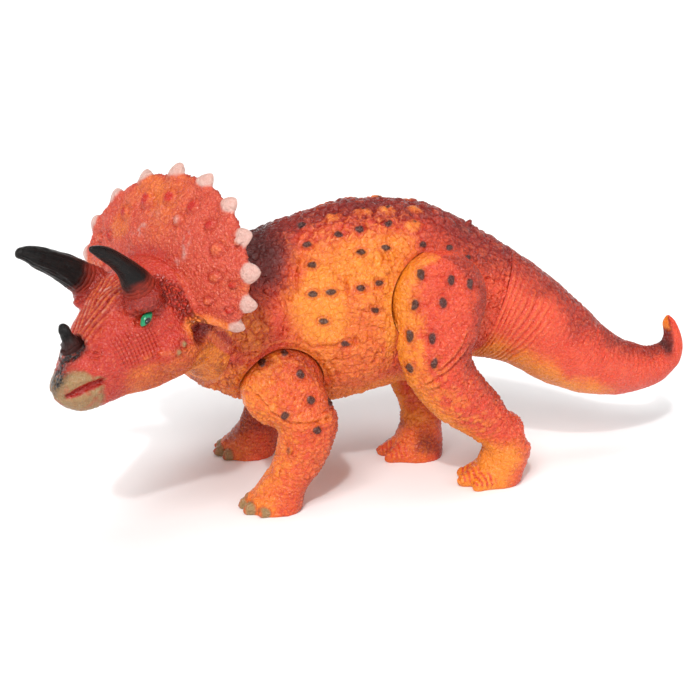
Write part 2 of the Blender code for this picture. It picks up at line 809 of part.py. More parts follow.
def mouth_cut():
    shape = bmesh.new()
    reach = skull_length + mouth_depth
    corners = [
        (skull_length - mouth_depth, 0.0),
        (reach, mouth_opening),
        (reach, -mouth_opening * mouth_lower_share),
    ]
    sides = []
    for left in (-skull_half_width, skull_half_width):
        sides.append([shape.verts.new(head_place(forward, left, up - mouth_drop)) for forward, up in corners])
    for k in range(3):
        following = (k + 1) % 3
        shape.faces.new((sides[0][k], sides[0][following], sides[1][following], sides[1][k]))
    for side in sides:
        shape.faces.new(side)
    return new_object("mouth", shape)


def head_and_horns(skin, black):
    axes = section_axes(head_turn, head_tilt, head_roll)
    forms = [frill_form()] + stud_forms()
    horns = []
    for left, name, rise in (
        (1.0, "brow_horn_left", left_horn_rise_angle),
        (-1.0, "brow_horn_right", right_horn_rise_angle),
    ):
        way = horn_direction(rise, brow_horn_splay_angle, left)
        base = head_place(0.0, left * brow_horn_spacing / 2, -horn_seat_depth)
        boss = base - way * brow_horn_radius * brow_boss_sink_share
        eye = head_place(eye_forward, left * eye_out, -eye_drop)
        ridge = head_place(0.0, left * eye_out * brow_ridge_out_share, -eye_drop * brow_ridge_drop_share)
        cheek = head_place(-cheek_back, left * cheek_out, -cheek_drop)
        forms.append(ball("boss", boss, axes, [brow_horn_radius * brow_boss_share] * 3))
        forms.append(ball("eye", eye, axes, [eye_radius] * 3))
        forms.append(ball("ridge", ridge, axes, [brow_ridge_radius * share for share in brow_ridge_shares]))
        forms.append(ball("cheek", cheek, axes, [cheek_radius * share for share in cheek_shares]))
        horns.append((name, base, way, rise, left))
    nose = head_place(nose_horn_forward, 0.0, -nose_horn_drop - horn_seat_depth)
    nose_way = horn_direction(nose_horn_rise_angle, 0.0, 0.0)
    boss = nose - nose_way * nose_horn_radius * nose_boss_sink_share
    forms.append(ball("boss", boss, axes, [nose_horn_radius * nose_boss_share] * 3))
    head = cast_as_one(skull_form(), forms, head_faces, head_smoothing)
    neck, away = trunk_end(False)
    cutters = [mouth_cut()]
    cutters.append(drum("behind", neck + away * gap, -away, neck_radius * 2, overrun * 3))
    for name, base, way, rise, left in horns:
        cutters += horn_socket(base, way, brow_horn_radius)
    cutters += horn_socket(nose, nose_way, nose_horn_radius)
    combine(head, "DIFFERENCE", cutters)
    combine(head, "UNION", [plug("plug", neck, -away, neck_stem_radius, neck_button_radius)])
    finish(head, "head", skin, neck)
    for name, base, way, rise, left in horns:
        horn(
            name,
            base,
            rise,
            brow_horn_bend_angle,
            brow_horn_splay_angle,
            left,
            brow_horn_length,
            brow_horn_radius,
            black,
        )
    horn("nose_horn", nose, nose_horn_rise_angle, 0.0, 0.0, 0.0, nose_horn_length, nose_horn_radius, black)


# Stand the figure on its origin: the middle of its box in plan, its soles at zero.
def stand_on_origin():
    bpy.context.view_layer.update()
    corners = []
    for made in bpy.data.objects:
        corners += [made.matrix_world @ vertex.co for vertex in made.data.vertices]
    low = Vector([min(point[k] for point in corners) for k in range(3)])
    high = Vector([max(point[k] for point in corners) for k in range(3)])
    shift = Vector(((low.x + high.x) / 2, (low.y + high.y) / 2, low.z))
    for made in bpy.data.objects:
        made.location -= shift
    print("moved by", [round(part / MM, 2) for part in shift], "size", [round(part / MM, 1) for part in high - low])


def main():
    for old in list(bpy.data.objects):
        bpy.data.objects.remove(old)
    orange = material("orange_vinyl", (0.80, 0.16, 0.05), 0.5)
    red = material("red_vinyl", (0.68, 0.07, 0.03), 0.5)
    yellow = material("yellow_vinyl", (0.88, 0.34, 0.05), 0.5)
    black = material("black_horn", (0.012, 0.011, 0.011), 0.35)
    trunk_shells(orange)
    head_and_horns(red, black)
    clearance = trunk_form("clearance", -gap)
    front_toes = (front_toe_length, front_toe_radius, front_toe_shares)
    hind_toes = (hind_toe_length, hind_toe_radius, hind_toe_shares)
    shoulder = (shoulder_bulge, shoulder_flush_share, front_leg_out)
    hip = (hip_bulge, hip_flush_share, hind_leg_out)
    leg("front_left_leg", clearance, 0, *shoulder, front_left_shares, front_toes, orange)
    leg("front_right_leg", clearance, 2, *shoulder, front_right_shares, front_toes, orange)
    leg("hind_left_leg", clearance, 1, *hip, hind_left_shares, hind_toes, yellow)
    leg("hind_right_leg", clearance, 3, *hip, hind_right_shares, hind_toes, yellow)
    bpy.data.objects.remove(clearance)
    tail(red)
    stand_on_origin()


main()
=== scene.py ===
import json
import math

import bmesh
import bpy
import numpy as np
from mathutils import Matrix, Vector
from mathutils.bvhtree import BVHTree
from mathutils.kdtree import KDTree


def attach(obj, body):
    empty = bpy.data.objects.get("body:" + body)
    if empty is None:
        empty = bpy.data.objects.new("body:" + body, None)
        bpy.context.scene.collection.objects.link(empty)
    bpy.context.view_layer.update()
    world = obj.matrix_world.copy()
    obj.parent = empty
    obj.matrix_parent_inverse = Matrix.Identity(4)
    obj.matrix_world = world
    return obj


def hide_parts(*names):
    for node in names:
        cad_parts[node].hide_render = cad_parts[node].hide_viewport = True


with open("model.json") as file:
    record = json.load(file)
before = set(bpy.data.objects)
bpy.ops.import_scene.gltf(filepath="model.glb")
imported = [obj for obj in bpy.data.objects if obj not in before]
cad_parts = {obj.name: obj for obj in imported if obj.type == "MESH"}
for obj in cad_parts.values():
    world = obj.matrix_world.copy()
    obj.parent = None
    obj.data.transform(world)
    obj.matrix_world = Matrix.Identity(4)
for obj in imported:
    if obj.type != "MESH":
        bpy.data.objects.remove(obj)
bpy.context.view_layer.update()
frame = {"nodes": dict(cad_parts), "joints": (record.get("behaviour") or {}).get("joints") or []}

# Everything is worked out in the maker's millimetres, about the middle of the trunk,
# and moved to the frame when a piece is finished.
mm = 0.001
neckMiddle = np.array((-60.0, -17.0, 70.988))
joints = {joint["name"]: joint for joint in frame["joints"]}
frameShift = np.array(joints["neck_swivel"]["pos_m"]) / mm - neckMiddle
gap = 0.3
seamGap = 0.14

cameraSizes = {
    "azimuth": -10.0,
    "elevation": 20.0,
    "distance": 620.0,
    "lens": 84.0,
    "sensor": 36.0,
    "target": (0.4, 0.0, 49.6),
}


def placeCamera():
    turn, rise = math.radians(cameraSizes["azimuth"]), math.radians(cameraSizes["elevation"])
    back = np.array((math.sin(turn) * math.cos(rise), -math.cos(turn) * math.cos(rise), math.sin(rise)))
    right = np.array((math.cos(turn), math.sin(turn), 0.0))
    lens = bpy.data.cameras.new("photoCamera")
    lens.lens = cameraSizes["lens"]
    lens.sensor_width = cameraSizes["sensor"]
    lens.clip_start = 0.01
    seen = bpy.data.objects.new("photoCamera", lens)
    bpy.context.scene.collection.objects.link(seen)
    spot = (np.array(cameraSizes["target"]) + back * cameraSizes["distance"] + frameShift) * mm
    turned = Matrix(np.stack((right, np.cross(back, right), back), 1).tolist()).to_4x4()
    seen.matrix_world = Matrix.Translation(spot.tolist()) @ turned
    bpy.context.scene.camera = seen


# Numbers that vary over space, the same on every run.
def latticeNumbers(cells, seed):
    cells = cells.astype(np.int64)
    mixed = cells[..., 0] * 73856093 ^ cells[..., 1] * 19349663 ^ cells[..., 2] * 83492791 ^ (seed * 2654435761)
    mixed &= 0xFFFFFFFF
    mixed = ((mixed ^ (mixed >> 15)) * 2246822519) & 0xFFFFFFFF
    mixed = ((mixed ^ (mixed >> 13)) * 3266489917) & 0xFFFFFFFF
    return ((mixed ^ (mixed >> 16)) & 0xFFFFFF) / 16777216.0


def softNoise(points, size, seed=1):
    scaled = points / size
    low = np.floor(scaled)
    part = scaled - low
    part = part * part * (3 - 2 * part)
    total = np.zeros(len(points))
    for corner in range(8):
        step = np.array((corner & 1, corner >> 1 & 1, corner >> 2 & 1))
        weight = np.prod(np.where(step, part, 1 - part), axis=1)
        total += weight * latticeNumbers(low + step, seed)
    return total * 2 - 1


def cellNoise(points, size, seed=1, loose=0.9):
    scaled = points / size
    low = np.floor(scaled)
    nearest = np.full(len(points), 9.0)
    second = np.full(len(points), 9.0)
    owner = np.zeros(len(points))
    for shift in np.ndindex(3, 3, 3):
        cell = low + np.array(shift) - 1
        seat = np.stack([latticeNumbers(cell, seed + k) for k in range(3)], 1)
        seat = cell + 0.5 + (seat - 0.5) * loose
        far = np.linalg.norm(scaled - seat, axis=1)
        closer = far < nearest
        second = np.where(closer, nearest, np.minimum(second, far))
        owner = np.where(closer, latticeNumbers(cell, seed + 7), owner)
        nearest = np.where(closer, far, nearest)
    return nearest, second, owner


def smoothStep(low, high, value):
    part = np.clip((value - low) / (high - low), 0.0, 1.0)
    return part * part * (3 - 2 * part)


def bell(distance, width):
    return np.exp(-((distance / width) ** 2))


# Smooth values between the rows of a table, through every row.
def throughRows(rows, count):
    rows = np.array(rows, float)
    last = len(rows) - 1
    place = np.linspace(0, last, count)
    at = np.minimum(place.astype(int), last - 1)
    t = (place - at)[:, None]
    a, b, c, d = (rows[np.clip(at + k, 0, last)] for k in (-1, 0, 1, 2))
    return 0.5 * (2 * b + (c - a) * t + (2 * a - 5 * b + 4 * c - d) * t**2 + (3 * b - a - 3 * c + d) * t**3)


# Directions of a section: the way the form runs, its side and its top.
def sectionAxes(turn, tilt, roll=0.0):
    turn, tilt, roll = (np.radians(np.atleast_1d(np.asarray(part, float))) for part in (turn, tilt, roll))
    turn, tilt, roll = np.broadcast_arrays(turn, tilt, roll)
    run = np.stack((np.cos(turn) * np.cos(tilt), np.sin(turn) * np.cos(tilt), np.sin(tilt)), 1)
    side = np.stack((-np.sin(turn), np.cos(turn), np.zeros_like(turn)), 1)
    top = np.cross(run, side)
    bend, rise = np.cos(roll)[:, None], np.sin(roll)[:, None]
    return run, side * bend + top * rise, top * bend - side * rise


def ringsOf(centre, axes, width, height):
    return {"centre": centre, "run": axes[0], "side": axes[1], "top": axes[2], "width": width, "height": height}


def ringGrid(rings, angles, squareness=2.0, belly=0.0):
    across, up = np.cos(angles), np.sin(angles)
    across = np.sign(across) * np.abs(across) ** (2 / squareness) * (1 - belly * up)
    up = np.sign(up) * np.abs(up) ** (2 / squareness)
    return (
        rings["centre"][:, None]
        + rings["side"][:, None] * (rings["width"][:, None] * across)[..., None]
        + rings["top"][:, None] * (rings["height"][:, None] * up)[..., None]
    )


# Where each point lies along a row of rings, and at which angle round them.
def alongRings(points, rings, chunk=20000):
    if len(points) > chunk:
        parts = [alongRings(points[k : k + chunk], rings) for k in range(0, len(points), chunk)]
        return tuple(np.concatenate(part) for part in zip(*parts))
    off = points[:, None] - rings["centre"][None]
    ahead = (off * rings["run"][None]).sum(2)
    inside = (ahead[:, :-1] >= 0) & (ahead[:, 1:] < 0)
    away = np.linalg.norm(off, axis=2)[:, :-1]
    at = np.where(inside, away, 1e6).argmin(1)
    at = np.where(inside.any(1), at, np.where(ahead[:, 0] < 0, 0, ahead.shape[1] - 2))
    line = np.arange(len(points))
    before, after = ahead[line, at], ahead[line, at + 1]
    part = np.clip(before / np.where(np.abs(before - after) < 1e-9, 1e-9, before - after), 0, 1)

    def between(values):
        return values[at] * (1 - part)[:, None] + values[at + 1] * part[:, None]

    off = points - between(rings["centre"])
    across = (off * between(rings["side"])).sum(1) / between(rings["width"][:, None])[:, 0]
    up = (off * between(rings["top"])).sum(1) / between(rings["height"][:, None])[:, 0]
    return (at + part) / (len(rings["centre"]) - 1), np.arctan2(up, across)


def farFrom(points, route):
    route = np.array(route, float)
    nearest = np.full(len(points), 1e6)
    for start, end in zip(route, route[1:]):
        way = end - start
        share = np.clip(((points - start) @ way) / max(way @ way, 1e-9), 0, 1)
        nearest = np.minimum(nearest, np.linalg.norm(points - start - share[:, None] * way, axis=1))
    return nearest


# Meshes in millimetres.
def linked(name, mesh):
    made = bpy.data.objects.new(name, mesh)
    bpy.context.scene.collection.objects.link(made)
    return made


def meshObject(name, points, faces):
    mesh = bpy.data.meshes.new(name)
    mesh.from_pydata([tuple(point) for point in points], [], faces)
    mesh.update()
    return linked(name, mesh)


def fromShape(name, shape):
    mesh = bpy.data.meshes.new(name)
    shape.to_mesh(mesh)
    shape.free()
    return linked(name, mesh)


def vectorsOf(piece, layer, kind):
    flat = np.empty(len(piece.data.vertices) * 3, np.float32)
    getattr(piece.data, layer).foreach_get(kind, flat)
    return flat.reshape(-1, 3).astype(float)


def pointsOf(piece):
    return vectorsOf(piece, "vertices", "co")


def setPoints(piece, points):
    piece.data.vertices.foreach_set("co", np.asarray(points, np.float32).ravel())
    piece.data.update()


def outward(piece):
    shape = bmesh.new()
    shape.from_mesh(piece.data)
    bmesh.ops.recalc_face_normals(shape, faces=shape.faces)
    shape.to_mesh(piece.data)
    shape.free()
    return piece


def gridFaces(rows, columns, closed=True):
    number = np.arange(rows * columns).reshape(rows, columns)
    following = np.roll(number, -1, axis=1)
    faces = np.stack((number[:-1], following[:-1], following[1:], number[1:]), -1)
    return (faces if closed else faces[:, :-1]).reshape(-1, 4).tolist(), number


def closedGrid(name, grid):
    faces, number = gridFaces(*grid.shape[:2])
    faces += [number[0][::-1].tolist(), number[-1].tolist()]
    return outward(meshObject(name, grid.reshape(-1, 3), faces))


def settle(piece):
    graph = bpy.context.evaluated_depsgraph_get()
    result = bpy.data.meshes.new_from_object(piece.evaluated_get(graph))
    piece.modifiers.clear()
    piece.data = result
    return piece


def cutOrJoin(piece, operation, tools):
    for tool in tools:
        step = piece.modifiers.new(operation, "BOOLEAN")
        step.operation = operation
        step.solver = "EXACT"
        step.object = tool
    settle(piece)
    for tool in tools:
        bpy.data.objects.remove(tool)
    return piece


def gather(name, pieces):
    shape = bmesh.new()
    for piece in pieces:
        shape.from_mesh(piece.data)
        bpy.data.objects.remove(piece)
    return fromShape(name, shape)


def castSkin(piece, grid, softening):
    remesh = piece.modifiers.new("cast", "REMESH")
    remesh.mode = "VOXEL"
    remesh.voxel_size = grid
    soften = piece.modifiers.new("soften", "SMOOTH")
    soften.factor = 0.5
    soften.iterations = softening
    return settle(piece)


# A merged copy of one of the frame's solids, in millimetres.
def solidCopy(node, name):
    made = linked(name, frame["nodes"][node].data.copy())
    made.data.materials.clear()
    shape = bmesh.new()
    shape.from_mesh(made.data)
    bmesh.ops.remove_doubles(shape, verts=shape.verts, dist=0.000005)
    shape.to_mesh(made.data)
    shape.free()
    setPoints(made, pointsOf(made) / mm - frameShift)
    return made


def drum(base, way, radius, length, sides=96):
    shape = bmesh.new()
    base, way = Vector(base), Vector(way).normalized()
    place = Matrix.Translation(base + way * (length / 2)) @ way.to_track_quat("Z", "Y").to_matrix().to_4x4()
    bmesh.ops.create_cone(
        shape, cap_ends=True, segments=sides, radius1=radius, radius2=radius, depth=length, matrix=place
    )
    return fromShape("drum", shape)


def ball(centre, axes, radii, fine=4):
    shape = bmesh.new()
    turned = Matrix([tuple(axis) for axis in axes]).transposed().to_4x4()
    place = Matrix.Translation(tuple(centre)) @ turned @ Matrix.Diagonal((*radii, 1.0))
    bmesh.ops.create_icosphere(shape, subdivisions=fine, radius=1.0, matrix=place)
    return fromShape("ball", shape)


# Relief and paint of one piece: heights along the normals, and masks for the shader.
# The groove mask is painted shade, darkening hollows, creases and fold valleys; the ridge mask paints crests lighter,
# partly dry-brushed paint and partly painted highlight.
class Relief:
    def __init__(self, points, normals, places=None):
        self.points, self.normals = points, normals
        self.places = points if places is None else places
        self.lift = np.zeros(len(points))
        self.masks = {}

    def paint(self, name, values, joined=np.maximum):
        before = self.masks.get(name, np.zeros(len(self.points)))
        self.masks[name] = joined(before, np.clip(values, 0.0, 1.0))

    def crease(self, distance, width, depth, where=1.0, shade=1.0):
        self.lift -= depth * bell(distance, width) * where
        self.lift += 0.35 * depth * bell(distance - 2.0 * width, width) * where
        self.paint("groove", bell(distance, 0.8 * width) * shade * where)

    def ridge(self, distance, width, height, where=1.0, shade=0.8):
        self.lift += height * bell(distance, width) * where
        self.paint("ridge", bell(distance, 0.75 * width) * shade * where)

    # Scales: domes with grooves between.
    def scales(self, places, size, height, where=1.0, seed=1, shade=0.7, tops=0.0, loose=0.9):
        nearest, second, owner = cellNoise(places, size, seed, loose)
        edge = smoothStep(0.0, 0.28, second - nearest)
        dome = np.sqrt(np.clip(1.0 - nearest**2, 0.0, 1.0)) * edge
        self.lift += height * (dome - 0.6) * where
        self.paint("groove", (1 - edge) * shade * where)
        if tops:
            self.paint("ridge", dome**2 * smoothStep(0.35, 0.65, owner) * tops * where)
        return owner

    # Raised lines between cells, as on cast hide.
    def net(self, places, size, height, where=1.0, seed=1, shade=0.7):
        nearest, second, owner = cellNoise(places, size, seed, 0.8)
        line = bell(second - nearest, 0.13) * where
        self.lift += height * line
        self.paint("ridge", line * shade)
        self.paint("groove", bell(second - nearest - 0.3, 0.12) * where * 0.35)

    # Wrinkles: lines that wander with the places given.
    def wrinkles(self, places, size, depth, where=1.0, seed=1, shade=0.3):
        field = softNoise(places, size, seed) + 0.45 * softNoise(places, size * 0.45, seed + 1)
        line = bell(field, 0.11) * where
        crest = bell(np.abs(field) - 0.24, 0.12) * where
        self.lift += depth * (0.6 * crest - line)
        self.paint("groove", line * shade)
        self.paint("ridge", crest * shade * 0.35)

    # Folds: rounded rolls with a sharp line between, one for each whole number of the phase.
    def folds(self, phase, depth, where=1.0, shade=0.8):
        part = phase - np.floor(phase)
        roll = (4 * part * (1 - part)) ** 0.5
        self.lift += depth * (roll - 0.75) * where
        self.paint("groove", (1 - roll) ** 2 * shade * where)

    # A raised, painted wart, with a line round it.
    def wart(self, centre, radius, height, mask="spot", stretch=(1.0, 1.0, 1.0), strength=1.0):
        off = (self.places - np.array(centre)) / np.array(stretch)
        far = np.linalg.norm(off, axis=1)
        far = far + softNoise(self.points, radius * 0.7, 91) * radius * 0.18
        self.lift += height * np.clip(1 - (far / radius) ** 2, 0, 1) ** 0.6
        self.lift -= 0.4 * height * bell(far - 1.25 * radius, 0.28 * radius)
        self.paint("groove", bell(far - 1.3 * radius, 0.3 * radius) * 0.7)
        self.paint(mask, smoothStep(1.12, 0.3, far / radius) * strength)

    def moved(self, limit=2.0):
        return self.points + self.normals * np.clip(self.lift, -limit, limit)[:, None]


def reliefOf(piece, places=None):
    return Relief(pointsOf(piece), vectorsOf(piece, "vertex_normals", "vector"), places)


def applyRelief(piece, relief):
    setPoints(piece, relief.moved())
    carryPaint(piece, relief.moved(), relief.masks)


# Masks reach a mesh that was cut after it was painted by way of the nearest painted point.
def carryPaint(piece, paintedPoints, masks):
    points = pointsOf(piece)
    if len(points) == len(paintedPoints):
        nearest = np.arange(len(points))
    else:
        tree = KDTree(len(paintedPoints))
        for number, point in enumerate(paintedPoints):
            tree.insert(point, number)
        tree.balance()
        nearest = np.array([tree.find(point)[1] for point in points])
    for name, values in masks.items():
        layer = piece.data.attributes.get(name) or piece.data.attributes.new(name, "FLOAT", "POINT")
        layer.data.foreach_set("value", values[nearest].astype(np.float32))


def finishPiece(piece, body, finish, node=None, sharp=70.0):
    setPoints(piece, (pointsOf(piece) + frameShift) * mm)
    piece.data.shade_smooth()
    piece.data.set_sharp_from_angle(angle=math.radians(sharp))
    piece.data.materials.clear()
    piece.data.materials.append(finish)
    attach(piece, body)
    if node:
        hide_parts(node)
    return piece


# Shader maths on sockets.
class Wire:
    def __init__(self, tree, socket):
        self.tree, self.socket = tree, socket

    def join(self, operation, *others):
        made = self.tree.nodes.new("ShaderNodeMath")
        made.operation = operation
        for slot, value in zip(made.inputs, others):
            if isinstance(value, Wire):
                self.tree.links.new(value.socket, slot)
            else:
                slot.default_value = value
        return Wire(self.tree, made.outputs[0])

    def __add__(self, other):
        return self.join("ADD", self, other)

    __radd__ = __add__

    def __sub__(self, other):
        return self.join("SUBTRACT", self, other)

    def __rsub__(self, other):
        return self.join("SUBTRACT", other, self)

    def __mul__(self, other):
        return self.join("MULTIPLY", self, other)

    __rmul__ = __mul__

    def wave(self):
        return self.join("SINE", self)

    def clamp(self):
        return self.join("MAXIMUM", self.join("MINIMUM", self, 1.0), 0.0)


def linear(part):
    part /= 255.0
    return part / 12.92 if part <= 0.04045 else ((part + 0.055) / 1.055) ** 2.4


def rgba(value):
    return value if isinstance(value, Wire) else (*(linear(part) for part in value), 1.0)


class Finish:
    def __init__(self, name):
        self.material = bpy.data.materials.new(name)
        self.material.use_nodes = True
        self.tree = self.material.node_tree
        self.shader = self.tree.nodes["Principled BSDF"]

    # Any node: its type, its settings, then the values or links of its sockets.
    def node(self, kind, settings=None, values=None, output=0):
        made = self.tree.nodes.new(kind)
        for name, value in (settings or {}).items():
            setattr(made, name, value)
        for name, value in (values or {}).items():
            if isinstance(value, Wire):
                self.tree.links.new(value.socket, made.inputs[name])
            else:
                made.inputs[name].default_value = value
        return Wire(self.tree, made.outputs[output])

    def mask(self, name):
        return self.node("ShaderNodeAttribute", {"attribute_name": name}, output=2)

    def places(self):
        return self.node("ShaderNodeTexCoord", output=3)

    def noise(self, size, detail=2.0, rough=0.5, warp=0.0):
        values = {"Vector": self.places(), "Scale": 1 / size, "Detail": detail, "Roughness": rough}
        values["Distortion"] = warp
        return self.node("ShaderNodeTexNoise", values=values)

    def warped(self, size, amount):
        values = {"Vector": self.places(), "Scale": 1 / size, "Detail": 2.0}
        swirl = self.node("ShaderNodeTexNoise", values=values, output=1)
        moved = self.node("ShaderNodeVectorMath", {"operation": "SCALE"}, {0: swirl, "Scale": amount})
        return self.node("ShaderNodeVectorMath", {"operation": "ADD"}, {0: self.places(), 1: moved})

    def cells(self, size, feature="F1", where=None):
        values = {"Vector": where or self.places(), "Scale": 1 / size, "Randomness": 1.0}
        return self.node("ShaderNodeTexVoronoi", {"feature": feature}, values)

    def colour(self, share, under, over, blend="MIX"):
        values = {0: share, 6: rgba(under), 7: rgba(over)}
        return self.node("ShaderNodeMix", {"data_type": "RGBA", "blend_type": blend}, values, output=2)

    def bump(self, height, distance):
        return self.node("ShaderNodeBump", values={"Height": height, "Distance": distance, "Strength": 1.0})

    def put(self, **values):
        for name, value in values.items():
            slot = self.shader.inputs[name.replace("_", " ")]
            if isinstance(value, Wire):
                self.tree.links.new(value.socket, slot)
            else:
                slot.default_value = value
        return self.material


vinylSizes = {
    "red": (206, 52, 28),
    "pinkRed": (222, 76, 46),
    "headRed": (180, 38, 24),
    "headPink": (188, 48, 32),
    "frillPink": (210, 84, 62),
    "deepRed": (110, 14, 7),
    "yellow": (236, 138, 34),
    "lightRidge": (240, 140, 64),
    "glint": (250, 196, 170),
    "grooveShade": (206, 118, 92),
    "darkSpray": (58, 8, 4),
    "wart": (38, 16, 15),
    "wartEdge": (112, 34, 20),
    "wartStreak": (124, 96, 86),
    "creamPaintAndGlint": (206, 166, 154),
    "tan": (150, 120, 78),
    "mouthRed": (150, 24, 14),
    "glossRed": (186, 20, 12),
    "pebble": 0.00105,
    "leather": 0.0021,
    "wrinkle": 0.0019,
    "reliefDepth": 0.00062,
}


# Moulded vinyl: the orange-red base, sprayed yellow and dark red, with painted shade darkening the grooves and pits
# of the relief and painted highlights on its crests.
def skinFinish(name, masks, base=("red", "pinkRed"), rough=0.21, pebbled=0.6, creased=0.6):
    finish = Finish(name)
    sizes = vinylSizes
    masked = {key: finish.mask(key) for key in masks}
    broad = finish.noise(0.012, 3.0, 0.55)
    fine = finish.noise(0.0013, 3.0, 0.65)
    bent = finish.warped(0.0026, 0.0018)
    pebbles = finish.cells(sizes["pebble"], where=bent)
    cracks = finish.cells(sizes["leather"], "DISTANCE_TO_EDGE", bent)
    top = (1.0 - pebbles * 1.35).clamp()
    pit = ((pebbles - 0.4) * 1.7).clamp()
    plate = (cracks * 6.0).clamp()
    tone = finish.colour((broad * 2.2 - 0.6).clamp(), sizes[base[0]], sizes[base[1]])
    # The frill is painted pink, paler on its pebble tops as a painted highlight.
    if "frill" in masked:
        tone = finish.colour((masked["frill"] * (0.62 + top * 0.5)).clamp(), tone, sizes["frillPink"])
    if "yellow" in masked:
        yellow = masked["yellow"]
        mixed = yellow * (1.0 - yellow)
        spray = (yellow * 1.1 + (broad - 0.5) * mixed * 2.0 + (top - 0.4) * mixed * 1.3).clamp()
        tone = finish.colour(spray, tone, sizes["yellow"])
    # Lighter crests: the pebble tops are lighter as a painted highlight, and the ridge mask adds dry-brushed paint
    # lines and painted highlights.
    crest = top * plate * 0.16
    if "ridge" in masked:
        crest = crest + masked["ridge"] * (0.4 + fine * 0.5)
    tone = finish.colour(crest.clamp(), tone, sizes["lightRidge"])
    glints = ((finish.noise(0.00055, 2.0, 0.5) - 0.6) * 7.0).clamp() * 0.22
    if "frill" in masked:
        glints = glints * (0.7 + masked["frill"])
    tone = finish.colour(glints.clamp(), tone, sizes["glint"])
    # Painted shade: the colour is darkened in the pits, the cracks and along the groove mask.
    paintedShade = pit * 0.3 * pebbled + (1.0 - plate) * 0.22 * creased
    if "groove" in masked:
        paintedShade = paintedShade + masked["groove"] * 0.75
    tone = finish.colour(paintedShade.clamp(), tone, sizes["grooveShade"], "MULTIPLY")
    if "maroon" in masked:
        maroon = masked["maroon"]
        mixed = maroon * (1.0 - maroon)
        uneven = (pit - top * 0.4 + (1.0 - plate) * 0.4) * mixed * 1.2
        spray = (maroon * 1.05 + (fine - 0.5) * mixed * 2.2 + uneven).clamp()
        tone = finish.colour(spray * 0.92, tone, sizes["deepRed"])
    if "dark" in masked:
        dark = masked["dark"]
        tone = finish.colour((dark + (fine - 0.5) * dark * (1.0 - dark) * 3.0).clamp(), tone, sizes["darkSpray"])
    if "spot" in masked:
        streak = ((finish.noise(0.0011, 3.0, 0.7, 1.0) - 0.52) * 5.0).clamp()
        wart = finish.colour((masked["spot"] * 2.2 - 0.5).clamp(), sizes["wartEdge"], sizes["wart"])
        wart = finish.colour(streak * ((masked["spot"] - 0.5) * 2.4).clamp() * 0.8, wart, sizes["wartStreak"])
        tone = finish.colour((masked["spot"] * 2.4 * (0.45 + fine)).clamp() * 0.92, tone, wart)
    # Cream is the studs' paint, and a painted highlight on the forehead's strands.
    for key in ("glossRed", "creamPaintAndGlint", "tan", "mouthRed"):
        if key in masked:
            edge = masked[key]
            patchy = (edge * (0.8 + fine * 0.35) + (fine - 0.5) * edge * (1.0 - edge) * 3.4).clamp()
            tone = finish.colour(patchy, tone, sizes[key])
    if "smear" in masked:
        tone = finish.colour((masked["smear"] * (fine * 2.4 - 0.25)).clamp(), tone, (20, 14, 13))
    wrinkles = finish.noise(sizes["wrinkle"], 4.0, 0.62, 0.9)
    height = top * 0.8 * pebbled + plate * 0.3 * creased + wrinkles * 1.1
    roughness = rough + (fine - 0.5) * 0.12 + pit * 0.12
    if "dark" in masked:
        roughness = roughness * (1.0 - masked["dark"] * 0.35)
    if "hatch" in masked:
        columns = (finish.mask("headForward") * 5.2).wave() * 0.22 + (finish.mask("headUp") * 4.4).wave() * 0.15
        lines = ((0.04 - columns) * 3.0).clamp() * masked["hatch"]
        tone = finish.colour(lines * 0.42, tone, sizes["grooveShade"], "MULTIPLY")
        height = height * (1.0 - masked["hatch"] * 0.6) + masked["hatch"] * (columns * 1.2 + 0.3)
    if "pits" in masked:
        holes = finish.cells(0.00125, where=bent)
        hole = ((holes - 0.3) * 2.4).clamp() * masked["pits"]
        # The pit bottoms are painted dark red: painted shade in the holes.
        tone = finish.colour(hole * 0.75, tone, (98, 18, 12))
        height = height * (1.0 - masked["pits"] * 0.7) - hole * 1.5
    if "gloss" in masked:
        roughness = roughness * (1.0 - masked["gloss"] * 0.7)
    normal = finish.bump(height, sizes["reliefDepth"])
    return finish.put(Base_Color=tone, Roughness=roughness.clamp(), Normal=normal, Specular_IOR_Level=0.45)


